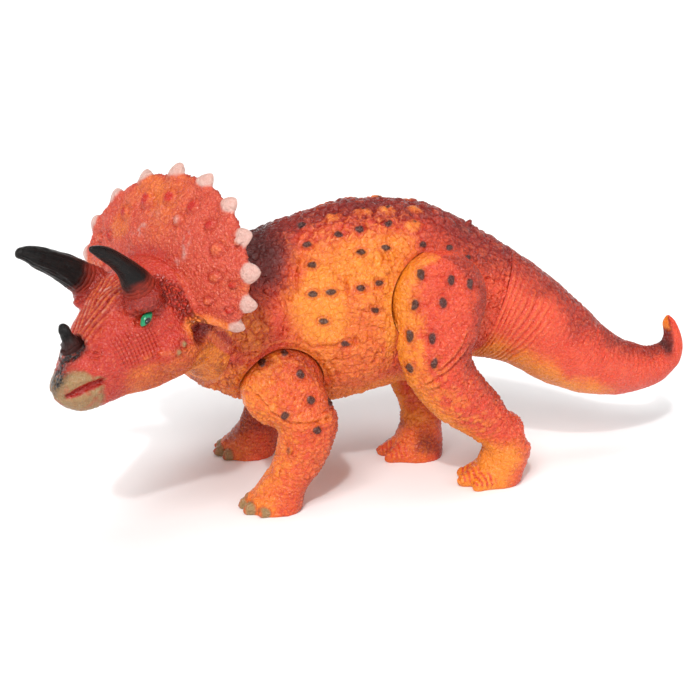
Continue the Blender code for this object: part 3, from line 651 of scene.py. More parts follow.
# Knobs on points: studs, bumps and nails, as stretched balls that can narrow towards their tips.
def knobTree():
    tree = bpy.data.node_groups.new("knobsOnPoints", "GeometryNodeTree")
    inputs = {}
    for name, kind in (
        ("Geometry", "NodeSocketGeometry"),
        ("Sides", "NodeSocketInt"),
        ("Taper", "NodeSocketFloat"),
        ("Finish", "NodeSocketMaterial"),
    ):
        inputs[name] = tree.interface.new_socket(name, in_out="INPUT", socket_type=kind).identifier
    tree.interface.new_socket("Geometry", in_out="OUTPUT", socket_type="NodeSocketGeometry")
    tree.is_modifier = True

    def add(kind, settings=None, **links):
        made = tree.nodes.new(kind)
        for name, value in (settings or {}).items():
            setattr(made, name, value)
        for name, value in links.items():
            slot = made.inputs[int(name[1:])] if name[0] == "_" else made.inputs[name]
            if isinstance(value, bpy.types.NodeSocket):
                tree.links.new(value, slot)
            else:
                slot.default_value = value
        return made

    def times(one, other):
        return add("ShaderNodeMath", {"operation": "MULTIPLY"}, _0=one, _1=other).outputs[0]

    given = add("NodeGroupInput")
    rings = times(given.outputs["Sides"], 0.5)
    sphere = add("GeometryNodeMeshUVSphere", Segments=given.outputs["Sides"], Rings=rings, Radius=1.0)
    parts = add("ShaderNodeSeparateXYZ", Vector=add("GeometryNodeInputPosition").outputs[0])
    x, y, z = parts.outputs
    narrow = times(z, given.outputs["Taper"])
    keep = add("ShaderNodeMath", {"operation": "SUBTRACT"}, _0=1.0, _1=narrow).outputs[0]
    shaped = add("ShaderNodeCombineXYZ", X=times(x, keep), Y=times(y, keep), Z=z)
    knob = add("GeometryNodeSetPosition", Geometry=sphere.outputs["Mesh"], Position=shaped.outputs[0])
    named = {}
    for name in ("way", "side", "size"):
        named[name] = add("GeometryNodeInputNamedAttribute", {"data_type": "FLOAT_VECTOR"}, Name=name)
    turned = add("FunctionNodeAlignRotationToVector", {"axis": "Z"}, Vector=named["way"].outputs[0])
    rolled = add(
        "FunctionNodeAlignRotationToVector",
        {"axis": "X", "pivot_axis": "Z"},
        Rotation=turned.outputs[0],
        Vector=named["side"].outputs[0],
    )
    placed = add(
        "GeometryNodeInstanceOnPoints",
        Points=given.outputs["Geometry"],
        Instance=knob.outputs[0],
        Rotation=rolled.outputs[0],
        Scale=named["size"].outputs[0],
    )
    real = add("GeometryNodeRealizeInstances", Geometry=placed.outputs[0])
    dressed = add("GeometryNodeSetMaterial", Geometry=real.outputs[0], Material=given.outputs["Finish"])
    add("NodeGroupOutput", Geometry=dressed.outputs[0])
    return tree, inputs


def knobsOn(name, rows, sides, taper, finish):
    tree, inputs = knobs
    points = meshObject(name, [row["at"] for row in rows], [])
    for key in ("way", "side", "size"):
        layer = points.data.attributes.new(key, "FLOAT_VECTOR", "POINT")
        layer.data.foreach_set("vector", np.array([row[key] for row in rows], np.float32).ravel())
    maker = points.modifiers.new("knobs", "NODES")
    maker.node_group = tree
    maker[inputs["Sides"]] = sides
    maker[inputs["Taper"]] = taper
    maker[inputs["Finish"]] = finish
    return settle(points)


knobs = knobTree()
placeCamera()
skinMasks = ["yellow", "ridge", "groove", "maroon", "dark", "spot"]
headMasks = ["frill", "yellow", "ridge", "groove", "maroon", "glossRed", "creamPaintAndGlint", "tan", "mouthRed"]
headMasks += ["smear", "hatch", "pits", "gloss"]
skins = {
    "trunk": skinFinish("trunk_vinyl", skinMasks, pebbled=0.3, creased=1.0),
    "leg": skinFinish("leg_vinyl", skinMasks + ["tan"], ("red", "pinkRed")),
    "tail": skinFinish("tail_vinyl", ["yellow", "ridge", "groove", "maroon", "dark"], rough=0.2, creased=0.3),
    "head": skinFinish("head_vinyl", headMasks, ("headRed", "headPink"), 0.19, 0.75, 0.3),
}
print("stage: camera and finishes")

# Trunk: two halves that meet along the spine, with a round seat for every leg.
trunkSizes = {
    "front": -60.0,
    "length": 113.0,
    "centreHeight": 70.0,
    "halfWidth": 30.0,
    "halfHeight": 38.0,
    "neckSideways": 17.0,
    "neckRadius": 23.5,
    "neckTurn": 30.0,
    "tailDrop": -22.0,
    "belly": 0.06,
    "glueGap": 0.1,
    "padWaist": 0.66,
    "ringsAlong": 300,
    "columns": 290,
}
# along, sideways, rise (of the half height), half width, half height, turn, tilt
trunkShares = [
    (0.00, 1.00, 0.026, 23.5 / 30.0, 23.5 / 38.0, 1.00, 0.00),
    (0.10, 0.60, -0.050, 0.850, 0.745, 0.75, 0.00),
    (0.22, 0.18, -0.110, 0.920, 0.862, 0.35, 0.00),
    (0.372, 0.00, -0.056, 0.985, 0.941, 0.00, 0.00),
    (0.531, 0.00, 0.016, 1.000, 0.978, 0.00, 0.00),
    (0.664, 0.00, 0.070, 0.967, 0.925, 0.00, 0.05),
    (0.796, 0.00, 0.037, 0.867, 0.850, 0.00, 0.33),
    (0.91, 0.00, -0.055, 0.735, 0.720, 0.00, 0.68),
    (1.00, 0.00, -0.090, 18.0 / 30.0, 22.4 / 38.0, 0.00, 1.00),
]
neckRun = sectionAxes(trunkSizes["neckTurn"], 0.0)[0][0]
# Round seats of the legs, each pair alike.
seatPairs = {
    "front": {"along": -29.0, "height": 46.5, "out": 21.5, "radius": 15.6, "front": True, "roll": 9.0, "dip": 1.5},
    "hind": {"along": 29.2, "height": 75.5, "out": 20.0, "radius": 18.6, "front": False, "roll": 5.5, "dip": 0.7},
}
seats = {}
for end, place in seatPairs.items():
    for side, way in (("left", -1.0), ("right", 1.0)):
        seats[end + "_" + side] = {**place, "way": way}
# Lines in the skin, as places on the animal's left side: along, out and up.
trunkLines = {
    "creases": [
        ((-7.2, 18.3, 97.5), (-5.7, 26.4, 84.9), (-5.1, 28.9, 77.0), (-3.4, 29.8, 64.7), (-2.0, 26.0, 50.5)),
        ((-21.9, 19.7, 92.3), (-23.6, 25.5, 83.0), (-25.8, 27.5, 77.8), (-26.0, 29.0, 71.9), (-23.7, 29.5, 65.9)),
        ((-23.7, 29.5, 65.9), (-19.0, 29.4, 62.5), (-11.0, 29.4, 62.4), (-5.2, 29.8, 64.8)),
        ((-12.1, 28.2, 55.9), (-8.5, 25.3, 48.8), (-6.1, 22.0, 43.8)),
        ((7.6, 23.0, 93.2), (9.9, 26.3, 86.6), (10.4, 27.9, 81.8)),
        ((9.5, 22.5, 94.1), (11.2, 25.4, 88.5)),
        ((13.3, 21.7, 94.8), (11.9, 25.8, 87.5)),
        ((5.0, 27.0, 86.0), (7.5, 28.6, 76.0), (7.0, 28.6, 64.0), (4.0, 27.4, 54.0)),
        ((0.5, 27.4, 84.0), (3.0, 29.4, 74.0), (2.0, 29.2, 64.0)),
    ],
    "ridges": [
        ((-12.0, 0.0, 105.4), (-10.6, 10.3, 102.8), (-8.6, 15.6, 99.7), (-7.4, 18.0, 97.8)),
        ((-18.0, 0.0, 103.6), (-17.0, 6.4, 102.8), (-14.0, 15.2, 98.8), (-13.2, 18.0, 96.6)),
        ((-2.8, 0.0, 107.1), (-2.0, 6.0, 106.2), (-0.8, 13.1, 103.1)),
        ((-25.6, 8.0, 99.4), (-24.7, 13.8, 97.0), (-21.8, 18.7, 93.5), (-22.2, 22.0, 89.0)),
    ],
    "neckRoll": ((-53.0, 23.2, 63.0), (-49.5, 24.2, 59.0), (-45.0, 26.7, 54.0)),
}
trunkSpots = [
    (-18.7, 8.4, 101.6), (-18.3, 16.5, 96.8), (-17.2, 21.8, 90.8), (-17.7, 26.6, 81.5), (-11.2, 27.0, 82.0),
    (-14.2, 29.3, 72.0), (-6.6, 29.6, 63.3), (-31.9, 25.7, 83.1), (-6.8, 16.1, 99.8), (1.1, 15.9, 101.4),
    (11.8, 14.6, 102.6), (0.5, 21.8, 94.7), (9.4, 21.5, 95.7), (-0.5, 27.5, 83.1), (6.1, 27.2, 84.5),
    (4.3, 29.5, 75.2), (23.8, 19.3, 95.6), (34.4, 17.1, 93.5), (41.7, 16.6, 89.2),
]  # fmt: skip
# Yellow spray on the flanks: along and up, half length, half height, strength.
trunkYellow = [
    (-14.5, 77.0, 11.5, 17.0, 0.95), (0.0, 91.0, 15.0, 9.0, 0.9), (9.0, 95.0, 11.0, 7.5, 0.9),
    (9.8, 74.0, 2.8, 22.0, 0.9), (-17.0, 56.0, 13.0, 8.0, 0.6), (-42.0, 72.0, 8.0, 10.0, 0.5),
    (12.0, 90.0, 6.0, 8.0, 0.8), (-48.0, 52.0, 8.0, 7.0, 0.7), (0.0, 52.0, 12.0, 7.0, 0.4),
    (2.0, 70.0, 9.0, 22.0, 0.65), (-12.0, 92.0, 10.0, 7.0, 0.6),
]  # fmt: skip
# Size and height of each kind of scale, wrinkle and wart.
trunkTexture = {
    "plates": (3.6, 0.75),
    "pebbles": (1.5, 0.16),
    "leather": (1.7, 0.2),
    "neckPlates": (4.6, 0.7),
    "upright": (3.0, 0.42),
    "level": (3.4, 0.26),
    "net": (2.7, 0.5),
    "wart": (1.55, 0.45),
    "paleWart": (2.6, 0.5),
    "paleCore": (1.1, 0.1),
}
trunkPaleSpots = [(-7.3, 8.4, 104.4), (3.2, 9.0, 106.0), (12.1, 9.0, 105.9), (23.4, 6.8, 105.2), (20.7, 14.5, 101.3)]

# Where each zone of the trunk starts and where it is full: along the body, or round it (up).
trunkZones = {
    "back": (0.68, 0.88),
    "netUp": (0.55, 0.75),
    "netFront": (-24.0, -12.0),
    "netRear": (28.0, 16.0),
    "neck": (-27.0, -36.0),
    "neckSides": (0.75, 0.4),
    "tailward": (34.0, 44.0),
    "tailSides": (0.97, 0.6),
    "flankTop": (0.96, 0.72),
    "under": (-0.55, -0.9),
    "spine": (0.84, 0.99),
    "rump": (14.0, 40.0),
    "rumpUp": (0.45, 0.98),
    "collar": (-20.0, -32.0),
    "collarUp": (0.3, 0.8),
    "throat": (-40.0, -52.0),
    "chest": (-30.0, -38.0),
    "deep": (-22.0, -33.0),
    "deepUp": (0.55, 0.9),
}
tuftSizes = {"along": 45.2, "left": 0.6, "radius": 1.1, "rise": 2.0}


def fromSeat(points, place):
    return np.hypot(points[:, 0] - place["along"], points[:, 2] - place["height"])


def trunkRings(count):
    rows = throughRows(trunkShares, count)
    axes = sectionAxes(trunkSizes["neckTurn"] * rows[:, 5], trunkSizes["tailDrop"] * rows[:, 6])
    along = trunkSizes["front"] + trunkSizes["length"] * rows[:, 0]
    rise = trunkSizes["centreHeight"] + trunkSizes["halfHeight"] * rows[:, 2]
    centre = np.stack((along, -trunkSizes["neckSideways"] * rows[:, 1], rise), 1)
    return ringsOf(centre, axes, trunkSizes["halfWidth"] * rows[:, 3], trunkSizes["halfHeight"] * rows[:, 4])


def trunkRelief(points, normals, along, angle):
    out = np.abs(points[:, 1] - np.interp(along, (0, 0.1, 0.22, 0.372), (-17.0, -10.2, -3.0, 0.0)))
    folded = np.stack((points[:, 0], out, points[:, 2]), 1)
    relief = Relief(points, normals, folded)
    x, z, up = points[:, 0], points[:, 2], np.sin(angle)
    wobble = softNoise(points, 8.0, 3)
    small = softNoise(points, 2.6, 4)
    nearSeat = np.ones(len(points))
    for place in seats.values():
        far = fromSeat(points, place)
        level = smoothStep(place["radius"], place["radius"] + 1.6, far)
        nearSeat *= np.where(points[:, 1] * place["way"] > 0, level, 1.0)
    back = smoothStep(*trunkZones["back"], up + 0.06 * wobble)
    relief.lift += 0.5 * softNoise(points, 7.0, 5) + 0.3 * softNoise(points, 2.8, 6)
    for route in trunkLines["creases"]:
        relief.crease(farFrom(folded + 0.45 * small[:, None], route), 0.7, 0.75, shade=0.7)
    for route in trunkLines["ridges"]:
        relief.ridge(farFrom(folded + 0.3 * small[:, None], route), 0.5, 0.4)
    # Large plates over the back, in rows across it; upright leathery creases elsewhere.
    arc = (angle - math.pi / 2) * 24.0
    plateRows = np.stack((x * 0.82 + 0.1 * arc, arc, wobble * 0.3), 1)
    relief.scales(plateRows, *trunkTexture["plates"], back, 11, 1.0, 0.3, 0.7)
    relief.scales(plateRows, *trunkTexture["pebbles"], back, 17, 0.35)
    warped = folded + 0.9 * small[:, None] + 0.5 * wobble[:, None]
    relief.scales(warped * (1.1, 1.0, 0.6), *trunkTexture["leather"], 1 - back, 12, 0.14, 0.12)
    calm = 1 - 0.55 * smoothStep(1.3, 0.8, np.hypot((x + 15.0) / 9.0, (z - 74.0) / 15.0))
    sides, bent = (1 - back) * calm, 0.5 * small[:, None]
    relief.wrinkles(folded * (1.0, 1.0, 0.5) + bent, *trunkTexture["upright"], sides, 14, 0.42)
    relief.wrinkles(folded * (0.5, 0.7, 1.1) + bent, *trunkTexture["level"], sides, 18, 0.25)
    upper = smoothStep(*trunkZones["netUp"], up + 0.05 * wobble) * smoothStep(1.0, 0.9, up)
    upper = upper * smoothStep(*trunkZones["netFront"], x) * smoothStep(*trunkZones["netRear"], x)
    relief.net(plateRows + 0.35 * small[:, None], *trunkTexture["net"], upper, 19, 1.0)
    # Polygon plates on the neck, behind the frill.
    neck = smoothStep(*trunkZones["neck"], x + 3.0 * wobble) * smoothStep(*trunkZones["neckSides"], up)
    relief.scales(folded + 0.8 * small[:, None], *trunkTexture["neckPlates"], neck, 13, 0.8, 0.2)
    # Folds beside the tail's root, one of them on the seam.
    tailward = smoothStep(*trunkZones["tailward"], x + 2.0 * wobble) * smoothStep(*trunkZones["tailSides"], up)
    fromSeam = (1 - along) * trunkSizes["length"]
    relief.folds((fromSeam - 0.5 * wobble * smoothStep(0.0, 5.0, fromSeam)) / 2.7, 0.55, tailward, 0.6)
    for place in seats.values():
        far = fromSeat(points, place) - place["radius"]
        same = points[:, 1] * place["way"] > 0
        ring = smoothStep(place["roll"], 2.0, far) * same
        ring = ring * smoothStep(place["height"] - 8.0, place["height"] + 4.0, z)
        relief.folds((far + 0.45 * wobble) / 2.4, 0.42, ring, 0.5)
        if place["front"]:
            relief.paint("ridge", bell(far - 3.6 - wobble * 0.4, 0.6) * 0.7 * (ring > 0))
    relief.ridge(farFrom(folded, trunkLines["neckRoll"]), 1.6, 0.9, shade=0.5)
    for number, centre in enumerate(trunkSpots):
        relief.wart(centre, *trunkTexture["wart"], stretch=(1.3 if number < 14 else 1.1, 1.3, 0.85))
    for centre in trunkPaleSpots:
        relief.wart(centre, *trunkTexture["paleWart"], "pale", (1.3, 1.3, 1.0))
        core = (centre[0] + 0.9, centre[1] - 1.6, centre[2] + 0.6)
        relief.wart(core, *trunkTexture["paleCore"], strength=0.7)
    pale = relief.masks.pop("pale") ** 0.5
    # Sprayed colours.
    def patch(middle, level, long, high, strength):
        far = np.hypot((x - middle) / long, (z - level) / high) + 0.2 * wobble + 0.12 * small
        return strength * smoothStep(1.5, 0.45, far)

    flank = np.maximum.reduce([patch(*row) for row in trunkYellow])
    flank *= 1 - 0.3 * smoothStep(1.4, 0.5, np.hypot((x - 1.0) / 5.0, (z - 64.0) / 13.0) + 0.2 * wobble)
    flank *= smoothStep(*trunkZones["flankTop"], up + 0.06 * wobble)
    under = smoothStep(*trunkZones["under"], up + 0.1 * wobble) * 0.7
    relief.paint("yellow", np.maximum(flank, under))
    spine = smoothStep(*trunkZones["spine"], up + 0.06 * wobble + 0.04 * small)
    rump = smoothStep(*trunkZones["rump"], x + 2.0 * wobble) * smoothStep(*trunkZones["rumpUp"], up + 0.1 * wobble)
    collar = smoothStep(*trunkZones["collar"], x + 2.5 * wobble)
    collar = collar * smoothStep(*trunkZones["collarUp"], up + 0.14 * wobble)
    throat = smoothStep(*trunkZones["throat"], x) * smoothStep(0.05, 0.35, softNoise(points, 4.0, 21))
    throat = throat * smoothStep(0.2, -0.4, up)
    chest = smoothStep(*trunkZones["chest"], x + 2.0 * wobble) * smoothStep(-0.6, 0.1, up + 0.15 * wobble) * 0.14
    relief.paint("maroon", np.maximum.reduce([0.86 * spine, 0.78 * rump, collar, 0.4 * throat, chest]))
    deep = smoothStep(*trunkZones["deep"], x + 2.5 * wobble) * smoothStep(*trunkZones["deepUp"], up + 0.14 * wobble)
    speckle = smoothStep(0.2, 0.7, softNoise(points, 2.0, 22)) * spine * 0.3
    relief.paint("dark", np.maximum(deep * 0.8, speckle))
    relief.paint("yellow", pale * 0.8)
    for name in ("maroon", "dark"):
        relief.masks[name] = relief.masks[name] * (1 - 0.75 * relief.masks["ridge"] * (x > -28)) * (1 - 0.92 * pale)
    relief.lift *= nearSeat
    # Skin rolls down into the seats.
    for place in seats.values():
        far = fromSeat(points, place) - place["radius"]
        same = (points[:, 1] * place["way"] > 0) & (z > place["height"] - 6.0)
        relief.lift -= place["dip"] * bell(far, 2.2) * same
    # The seams stay level with the head's and the tail's.
    relief.lift *= smoothStep(0.0, 0.012, along) * smoothStep(1.0, 0.99, along)
    relief.lift *= 0.25 + 0.75 * smoothStep(0.0, 1.4, np.abs(points[:, 1]) + 3.0 * (along < 0.37))
    # A tuft of mould flash on the line where the halves meet.
    tuft = np.hypot(x - tuftSizes["along"], points[:, 1] + tuftSizes["left"]) + 0.3 * small
    dome = np.sqrt(np.clip(1 - (tuft / tuftSizes["radius"]) ** 2, 0.0, 1.0))
    relief.lift += tuftSizes["rise"] * dome * (up > 0.9)
    return relief


def hourglass(place, fine):
    middle = np.array((place["along"], 0.0, place["height"]))
    spans = (place["radius"], place["radius"] * trunkSizes["padWaist"], place["radius"])
    centres = [middle + np.array((0.0, step * (place["out"] + 4.0), 0.0)) for step in (-1.0, 0.0, 1.0)]
    axes = [np.array([axis] * 3, float) for axis in ((0, 1, 0), (1, 0, 0), (0, 0, 1))]
    rings = ringsOf(np.array(centres), axes, np.array(spans), np.array(spans))
    return closedGrid("pad", ringGrid(rings, np.linspace(0, 2 * math.pi, fine, endpoint=False)))


def trunkHalf(name, way):
    rings = trunkRings(trunkSizes["ringsAlong"])
    angles = np.linspace(-math.pi / 2, math.pi / 2, trunkSizes["columns"])
    angles = math.pi - angles if way < 0 else angles
    grid = ringGrid(rings, angles, belly=trunkSizes["belly"])
    grid[..., 1] += way * trunkSizes["glueGap"]
    rows, columns = grid.shape[:2]
    sheet, number = gridFaces(rows, columns, False)
    middle = np.stack((number[:-1, -1], number[:-1, 0], number[1:, 0], number[1:, -1]), -1).reshape(-1, 4).tolist()
    ends = [number[0][::-1].tolist(), number[-1].tolist()]
    skin = outward(meshObject(name, grid.reshape(-1, 3), sheet + middle + ends))
    # Normals of the skin alone, without the flat middle.
    down, over = np.gradient(grid, axis=(0, 1))
    normals = np.cross(over, down).reshape(-1, 3) * way
    normals /= np.maximum(np.linalg.norm(normals, axis=1), 1e-9)[:, None]
    centre = np.repeat(rings["centre"], columns, 0)
    normals *= np.sign(((grid.reshape(-1, 3) - centre) * normals).sum(1))[:, None]
    along = np.repeat(np.linspace(0, 1, rows), columns)
    relief = trunkRelief(grid.reshape(-1, 3), normals, along, np.tile(angles, rows))
    setPoints(skin, relief.moved())
    pads, cuts = [], []
    for place in seats.values():
        if place["way"] == way:
            pad = hourglass(place, 96)
            kept = drum((place["along"], way * trunkSizes["glueGap"], place["height"]), (0, way, 0), 40.0, 60.0)
            pads.append(cutOrJoin(pad, "INTERSECT", [kept]))
            floor = (place["along"], way * place["out"], place["height"])
            cuts.append(drum(floor, (0, way, 0), place["radius"] + seamGap, 30.0, 200))
    cutOrJoin(skin, "UNION", pads)
    cutOrJoin(skin, "DIFFERENCE", cuts)
    carryPaint(skin, relief.moved(), relief.masks)
    return skin


trunkTrees = {}
for way, side in ((-1.0, "left"), (1.0, "right")):
    half = trunkHalf("trunk_skin_" + side, way)
    faces = [tuple(face.vertices) for face in half.data.polygons]
    trunkTrees[way] = BVHTree.FromPolygons(pointsOf(half).tolist(), faces)
    finishPiece(half, "torso", skins["trunk"], "torso_%s_shell" % side)
print("stage: trunk halves")

# Legs: cast over the frame's own forms, with toes and scales.
legSizes = {
    "grid": 0.5,
    "softening": 10,
    "plugRadius": 9.4,
    "frontToe": (5.2, 4.2),
    "hindToe": (6.5, 4.6),
    "toeStretch": 1.3,
    "toeWidth": 0.86,
    "toeLift": 0.55,
    "nailReach": 0.66,
    "nailDrop": 0.12,
    "nailSize": 0.66,
    "swing": (-12.0, -10.0, -8.0, -6.0, -4.0, -2.0, 0.0, 2.0, 4.0, 6.0, 8.0, 10.0, 12.0),
    "clear": 0.6,
    "beyondRim": 0.7,
    "heelBehind": (6.5, 0, 3.0),
    "heelRise": 1.2,
    "heelReach": 6.0,
    "wall": 1.3,
    "scales": (2.1, 0.4),
    "thighScales": (1.4, 0.22),
    "footScales": (1.5, 0.18),
    "wrinkles": (2.8, 0.3),
    "wart": (1.9, 0.55),
    "redWart": (1.5, 0.8),
    "rib": 1.8,
}
# along, out and up (of the joint's height), half length, half thickness (of the joint's radius), tilt
legShares = {
    "front_left": [
        (0.00, -0.02, 1.10, 0.86, 0.50, -90.0), (0.06, 0.00, 0.92, 0.86, 0.58, -85.0),
        (0.18, 0.01, 0.73, 0.72, 0.60, -86.0), (0.155, 0.00, 0.55, 0.65, 0.57, -100.0),
        (0.10, -0.01, 0.38, 0.57, 0.54, -106.0), (0.02, -0.03, 0.25, 0.51, 0.53, -108.0),
        (-0.05, -0.04, 0.12, 0.60, 0.60, -98.0), (-0.08, -0.04, -0.05, 0.66, 0.66, -90.0),
    ],
    "front_right": [
        (0.00, -0.02, 1.10, 0.86, 0.50, -90.0), (0.02, 0.00, 0.90, 0.90, 0.58, -85.0),
        (0.08, -0.01, 0.70, 0.80, 0.60, -84.0), (0.07, -0.04, 0.51, 0.66, 0.57, -97.0),
        (0.01, -0.07, 0.35, 0.58, 0.54, -104.0), (-0.06, -0.10, 0.22, 0.55, 0.55, -104.0),
        (-0.13, -0.12, 0.10, 0.64, 0.62, -98.0), (-0.17, -0.13, -0.05, 0.68, 0.66, -90.0),
    ],
    "hind_left": [
        (0.00, -0.02, 1.08, 0.80, 0.36, -90.0), (-0.016, 0.02, 0.874, 0.87, 0.46, -90.0),
        (-0.034, 0.02, 0.748, 0.74, 0.49, -86.0), (0.013, 0.01, 0.629, 0.66, 0.50, -62.0),
        (0.103, -0.01, 0.506, 0.61, 0.49, -47.0), (0.215, -0.04, 0.404, 0.54, 0.45, -45.0),
        (0.315, -0.07, 0.305, 0.49, 0.42, -55.0), (0.368, -0.08, 0.216, 0.46, 0.42, -84.0),
        (0.358, -0.09, 0.130, 0.50, 0.46, -108.0), (0.330, -0.10, 0.045, 0.51, 0.48, -102.0),
        (0.320, -0.10, -0.045, 0.47, 0.48, -95.0),
    ],
    "hind_right": [
        (0.00, -0.02, 1.08, 0.80, 0.36, -90.0), (-0.04, 0.02, 0.86, 0.84, 0.46, -90.0),
        (-0.05, 0.00, 0.66, 0.80, 0.49, -86.0), (-0.03, -0.06, 0.47, 0.64, 0.46, -82.0),
        (0.01, -0.13, 0.325, 0.46, 0.41, -86.0), (0.02, -0.19, 0.187, 0.40, 0.39, -96.0),
        (0.01, -0.22, 0.09, 0.52, 0.46, -100.0), (-0.01, -0.23, -0.04, 0.59, 0.50, -90.0),
    ],
}  # fmt: skip
legOut = {"front": 30.0, "hind": 27.0}
# forward and sideways as shares of the toe's length, size as a share of its radius
toeShares = {
    "front": [(0.45, 1.15, 0.82), (1.15, 0.62, 1.0), (1.35, -0.12, 1.0), (0.95, -0.85, 0.92)],
    "hind": [(0.75, 0.95, 0.85), (1.20, 0.30, 1.0), (0.95, -0.55, 1.0)],
}
legSpots = {
    "front": [
        (-23.5, 33.4, 53.8), (-20.4, 37.5, 45.3), (-29.9, 38.6, 40.7), (-18.6, 39.5, 34.4), (-12.7, 32.8, 42.2),
        (-36.9, 30.8, 58.4), (-28.7, 29.1, 60.7),
    ],
    "hind": [
        (20.7, 30.4, 87.7), (31.7, 30.6, 85.3), (38.9, 29.5, 83.0), (18.3, 32.2, 77.1), (28.3, 33.3, 77.7),
        (16.1, 33.9, 66.1), (23.9, 36.6, 65.8), (24.5, 37.4, 56.5), (16.2, 34.0, 53.9),
    ],
}  # fmt: skip
legFolds = {
    "front": [
        (
            (-41.7, 33.2, 49.7), (-37.7, 35.5, 45.8), (-33.4, 37.2, 40.4),
            (-28.2, 38.7, 37.1), (-21.1, 39.5, 36.9), (-13.4, 36.8, 37.6),
        ),
    ],
    "hind": [
        (
            (19.0, 36.0, 46.5), (23.4, 36.2, 48.1), (28.6, 37.3, 52.0),
            (33.6, 36.4, 56.0), (37.5, 35.1, 59.8), (39.5, 33.0, 66.0),
        ),
        ((26.8, 37.3, 52.9), (31.1, 37.2, 56.8), (34.5, 36.5, 60.5), (37.0, 35.5, 66.0)),
        ((22.0, 37.0, 44.5), (27.0, 36.5, 46.5), (33.0, 36.0, 50.5), (38.0, 34.0, 55.0)),
    ],
}  # fmt: skip
# Where each zone of a leg starts and where it is full: height, or round the leg towards its front.
legZones = {
    "foot": (15.0, 9.0),
    "shoulder": (44.0, 52.0),
    "thighRear": (-0.35, -0.8),
    "thighTop": (76.0, 84.0),
    "hindYellow": (0.28, 0.9),
    "hindYellowTop": (99.0, 88.0),
    "heelYellow": (24.0, 15.0),
    "specksTop": (66.0, 54.0),
    "frontYellow": (0.1, 0.8),
    "frontFoot": (13.0, 3.0),
    "blotchLow": (17.0, 11.0),
    "blotchTop": (62.0, 20.0),
}
redWart = (-28.4, 36.8, 26.2)
# The near hock stands out as a knob between two dips: place, reach, rise.
legKnob = [((56.0, 21.0, 31.5), 5.0, -2.3), ((61.0, 21.0, 25.0), 3.6, 0.9), ((65.0, 21.0, 19.5), 3.4, -1.7)]


def legRings(key, count):
    place, rows = seats[key], throughRows(legShares[key], count)
    height, kind = place["height"], key.split("_")[0]
    out = place["way"] * (legOut[kind] + height * rows[:, 1])
    centre = np.stack((place["along"] + height * rows[:, 0], out, height * rows[:, 2]), 1)
    return ringsOf(centre, sectionAxes(0.0, rows[:, 5]), place["radius"] * rows[:, 4], place["radius"] * rows[:, 3])


def toesOf(key):
    kind, way = key.split("_")[0], seats[key]["way"]
    length, radius = legSizes[kind + "Toe"]
    foot = legRings(key, 16)["centre"][-1] * (1, 1, 0)
    heading, away, up = np.array((-1.0, 0, 0)), np.array((0, way, 0)), np.array((0, 0, 1.0))
    toes = []
    for forward, out, size in toeShares[kind]:
        reach = heading * length * forward + away * length * out
        toward = heading + reach / np.linalg.norm(reach)
        toward /= np.linalg.norm(toward)
        centre = foot + reach + up * radius * size * legSizes["toeLift"]
        radii = radius * size * np.array((legSizes["toeStretch"], legSizes["toeWidth"], 1.0))
        nail = centre + toward * radii[0] * legSizes["nailReach"] - up * radii[2] * legSizes["nailDrop"]
        across = np.cross(up, toward)
        toes.append({"centre": centre, "toward": toward, "across": across, "radii": radii, "nail": nail})
    return toes


# Keeps a leg's inner face clear of the trunk over the joint's whole swing.
def clearOfTrunk(points, place):
    way, tree = place["way"], trunkTrees[place["way"]]
    off = points[:, [0, 2]] - (place["along"], place["height"])
    spread = fromSeat(points, place)
    # Under the thigh the dome's wall stays above the seat's rim as well.
    low = off[:, 1] < -0.3 * place["radius"]
    beyond = spread > place["radius"] + np.where(low, -legSizes["beyondRim"], 0.05)
    off = off * np.maximum(1.0, (place["radius"] + legSizes["beyondRim"]) / np.maximum(spread, 1.0))[:, None]
    near = np.flatnonzero(beyond & (points[:, 1] * way < trunkSizes["halfWidth"] + 2.0) & (points[:, 2] > 25.0))
    for turn in np.radians(legSizes["swing"]):
        x = place["along"] + off[:, 0] * math.cos(turn) + off[:, 1] * math.sin(turn)
        z = place["height"] - off[:, 0] * math.sin(turn) + off[:, 1] * math.cos(turn)
        for number in near:
            hit = tree.ray_cast((x[number], way * 60.0, z[number]), (0.0, -way, 0.0))[0]
            if hit:
                points[number, 1] = way * max(way * points[number, 1], way * hit.y + legSizes["clear"])
    return points


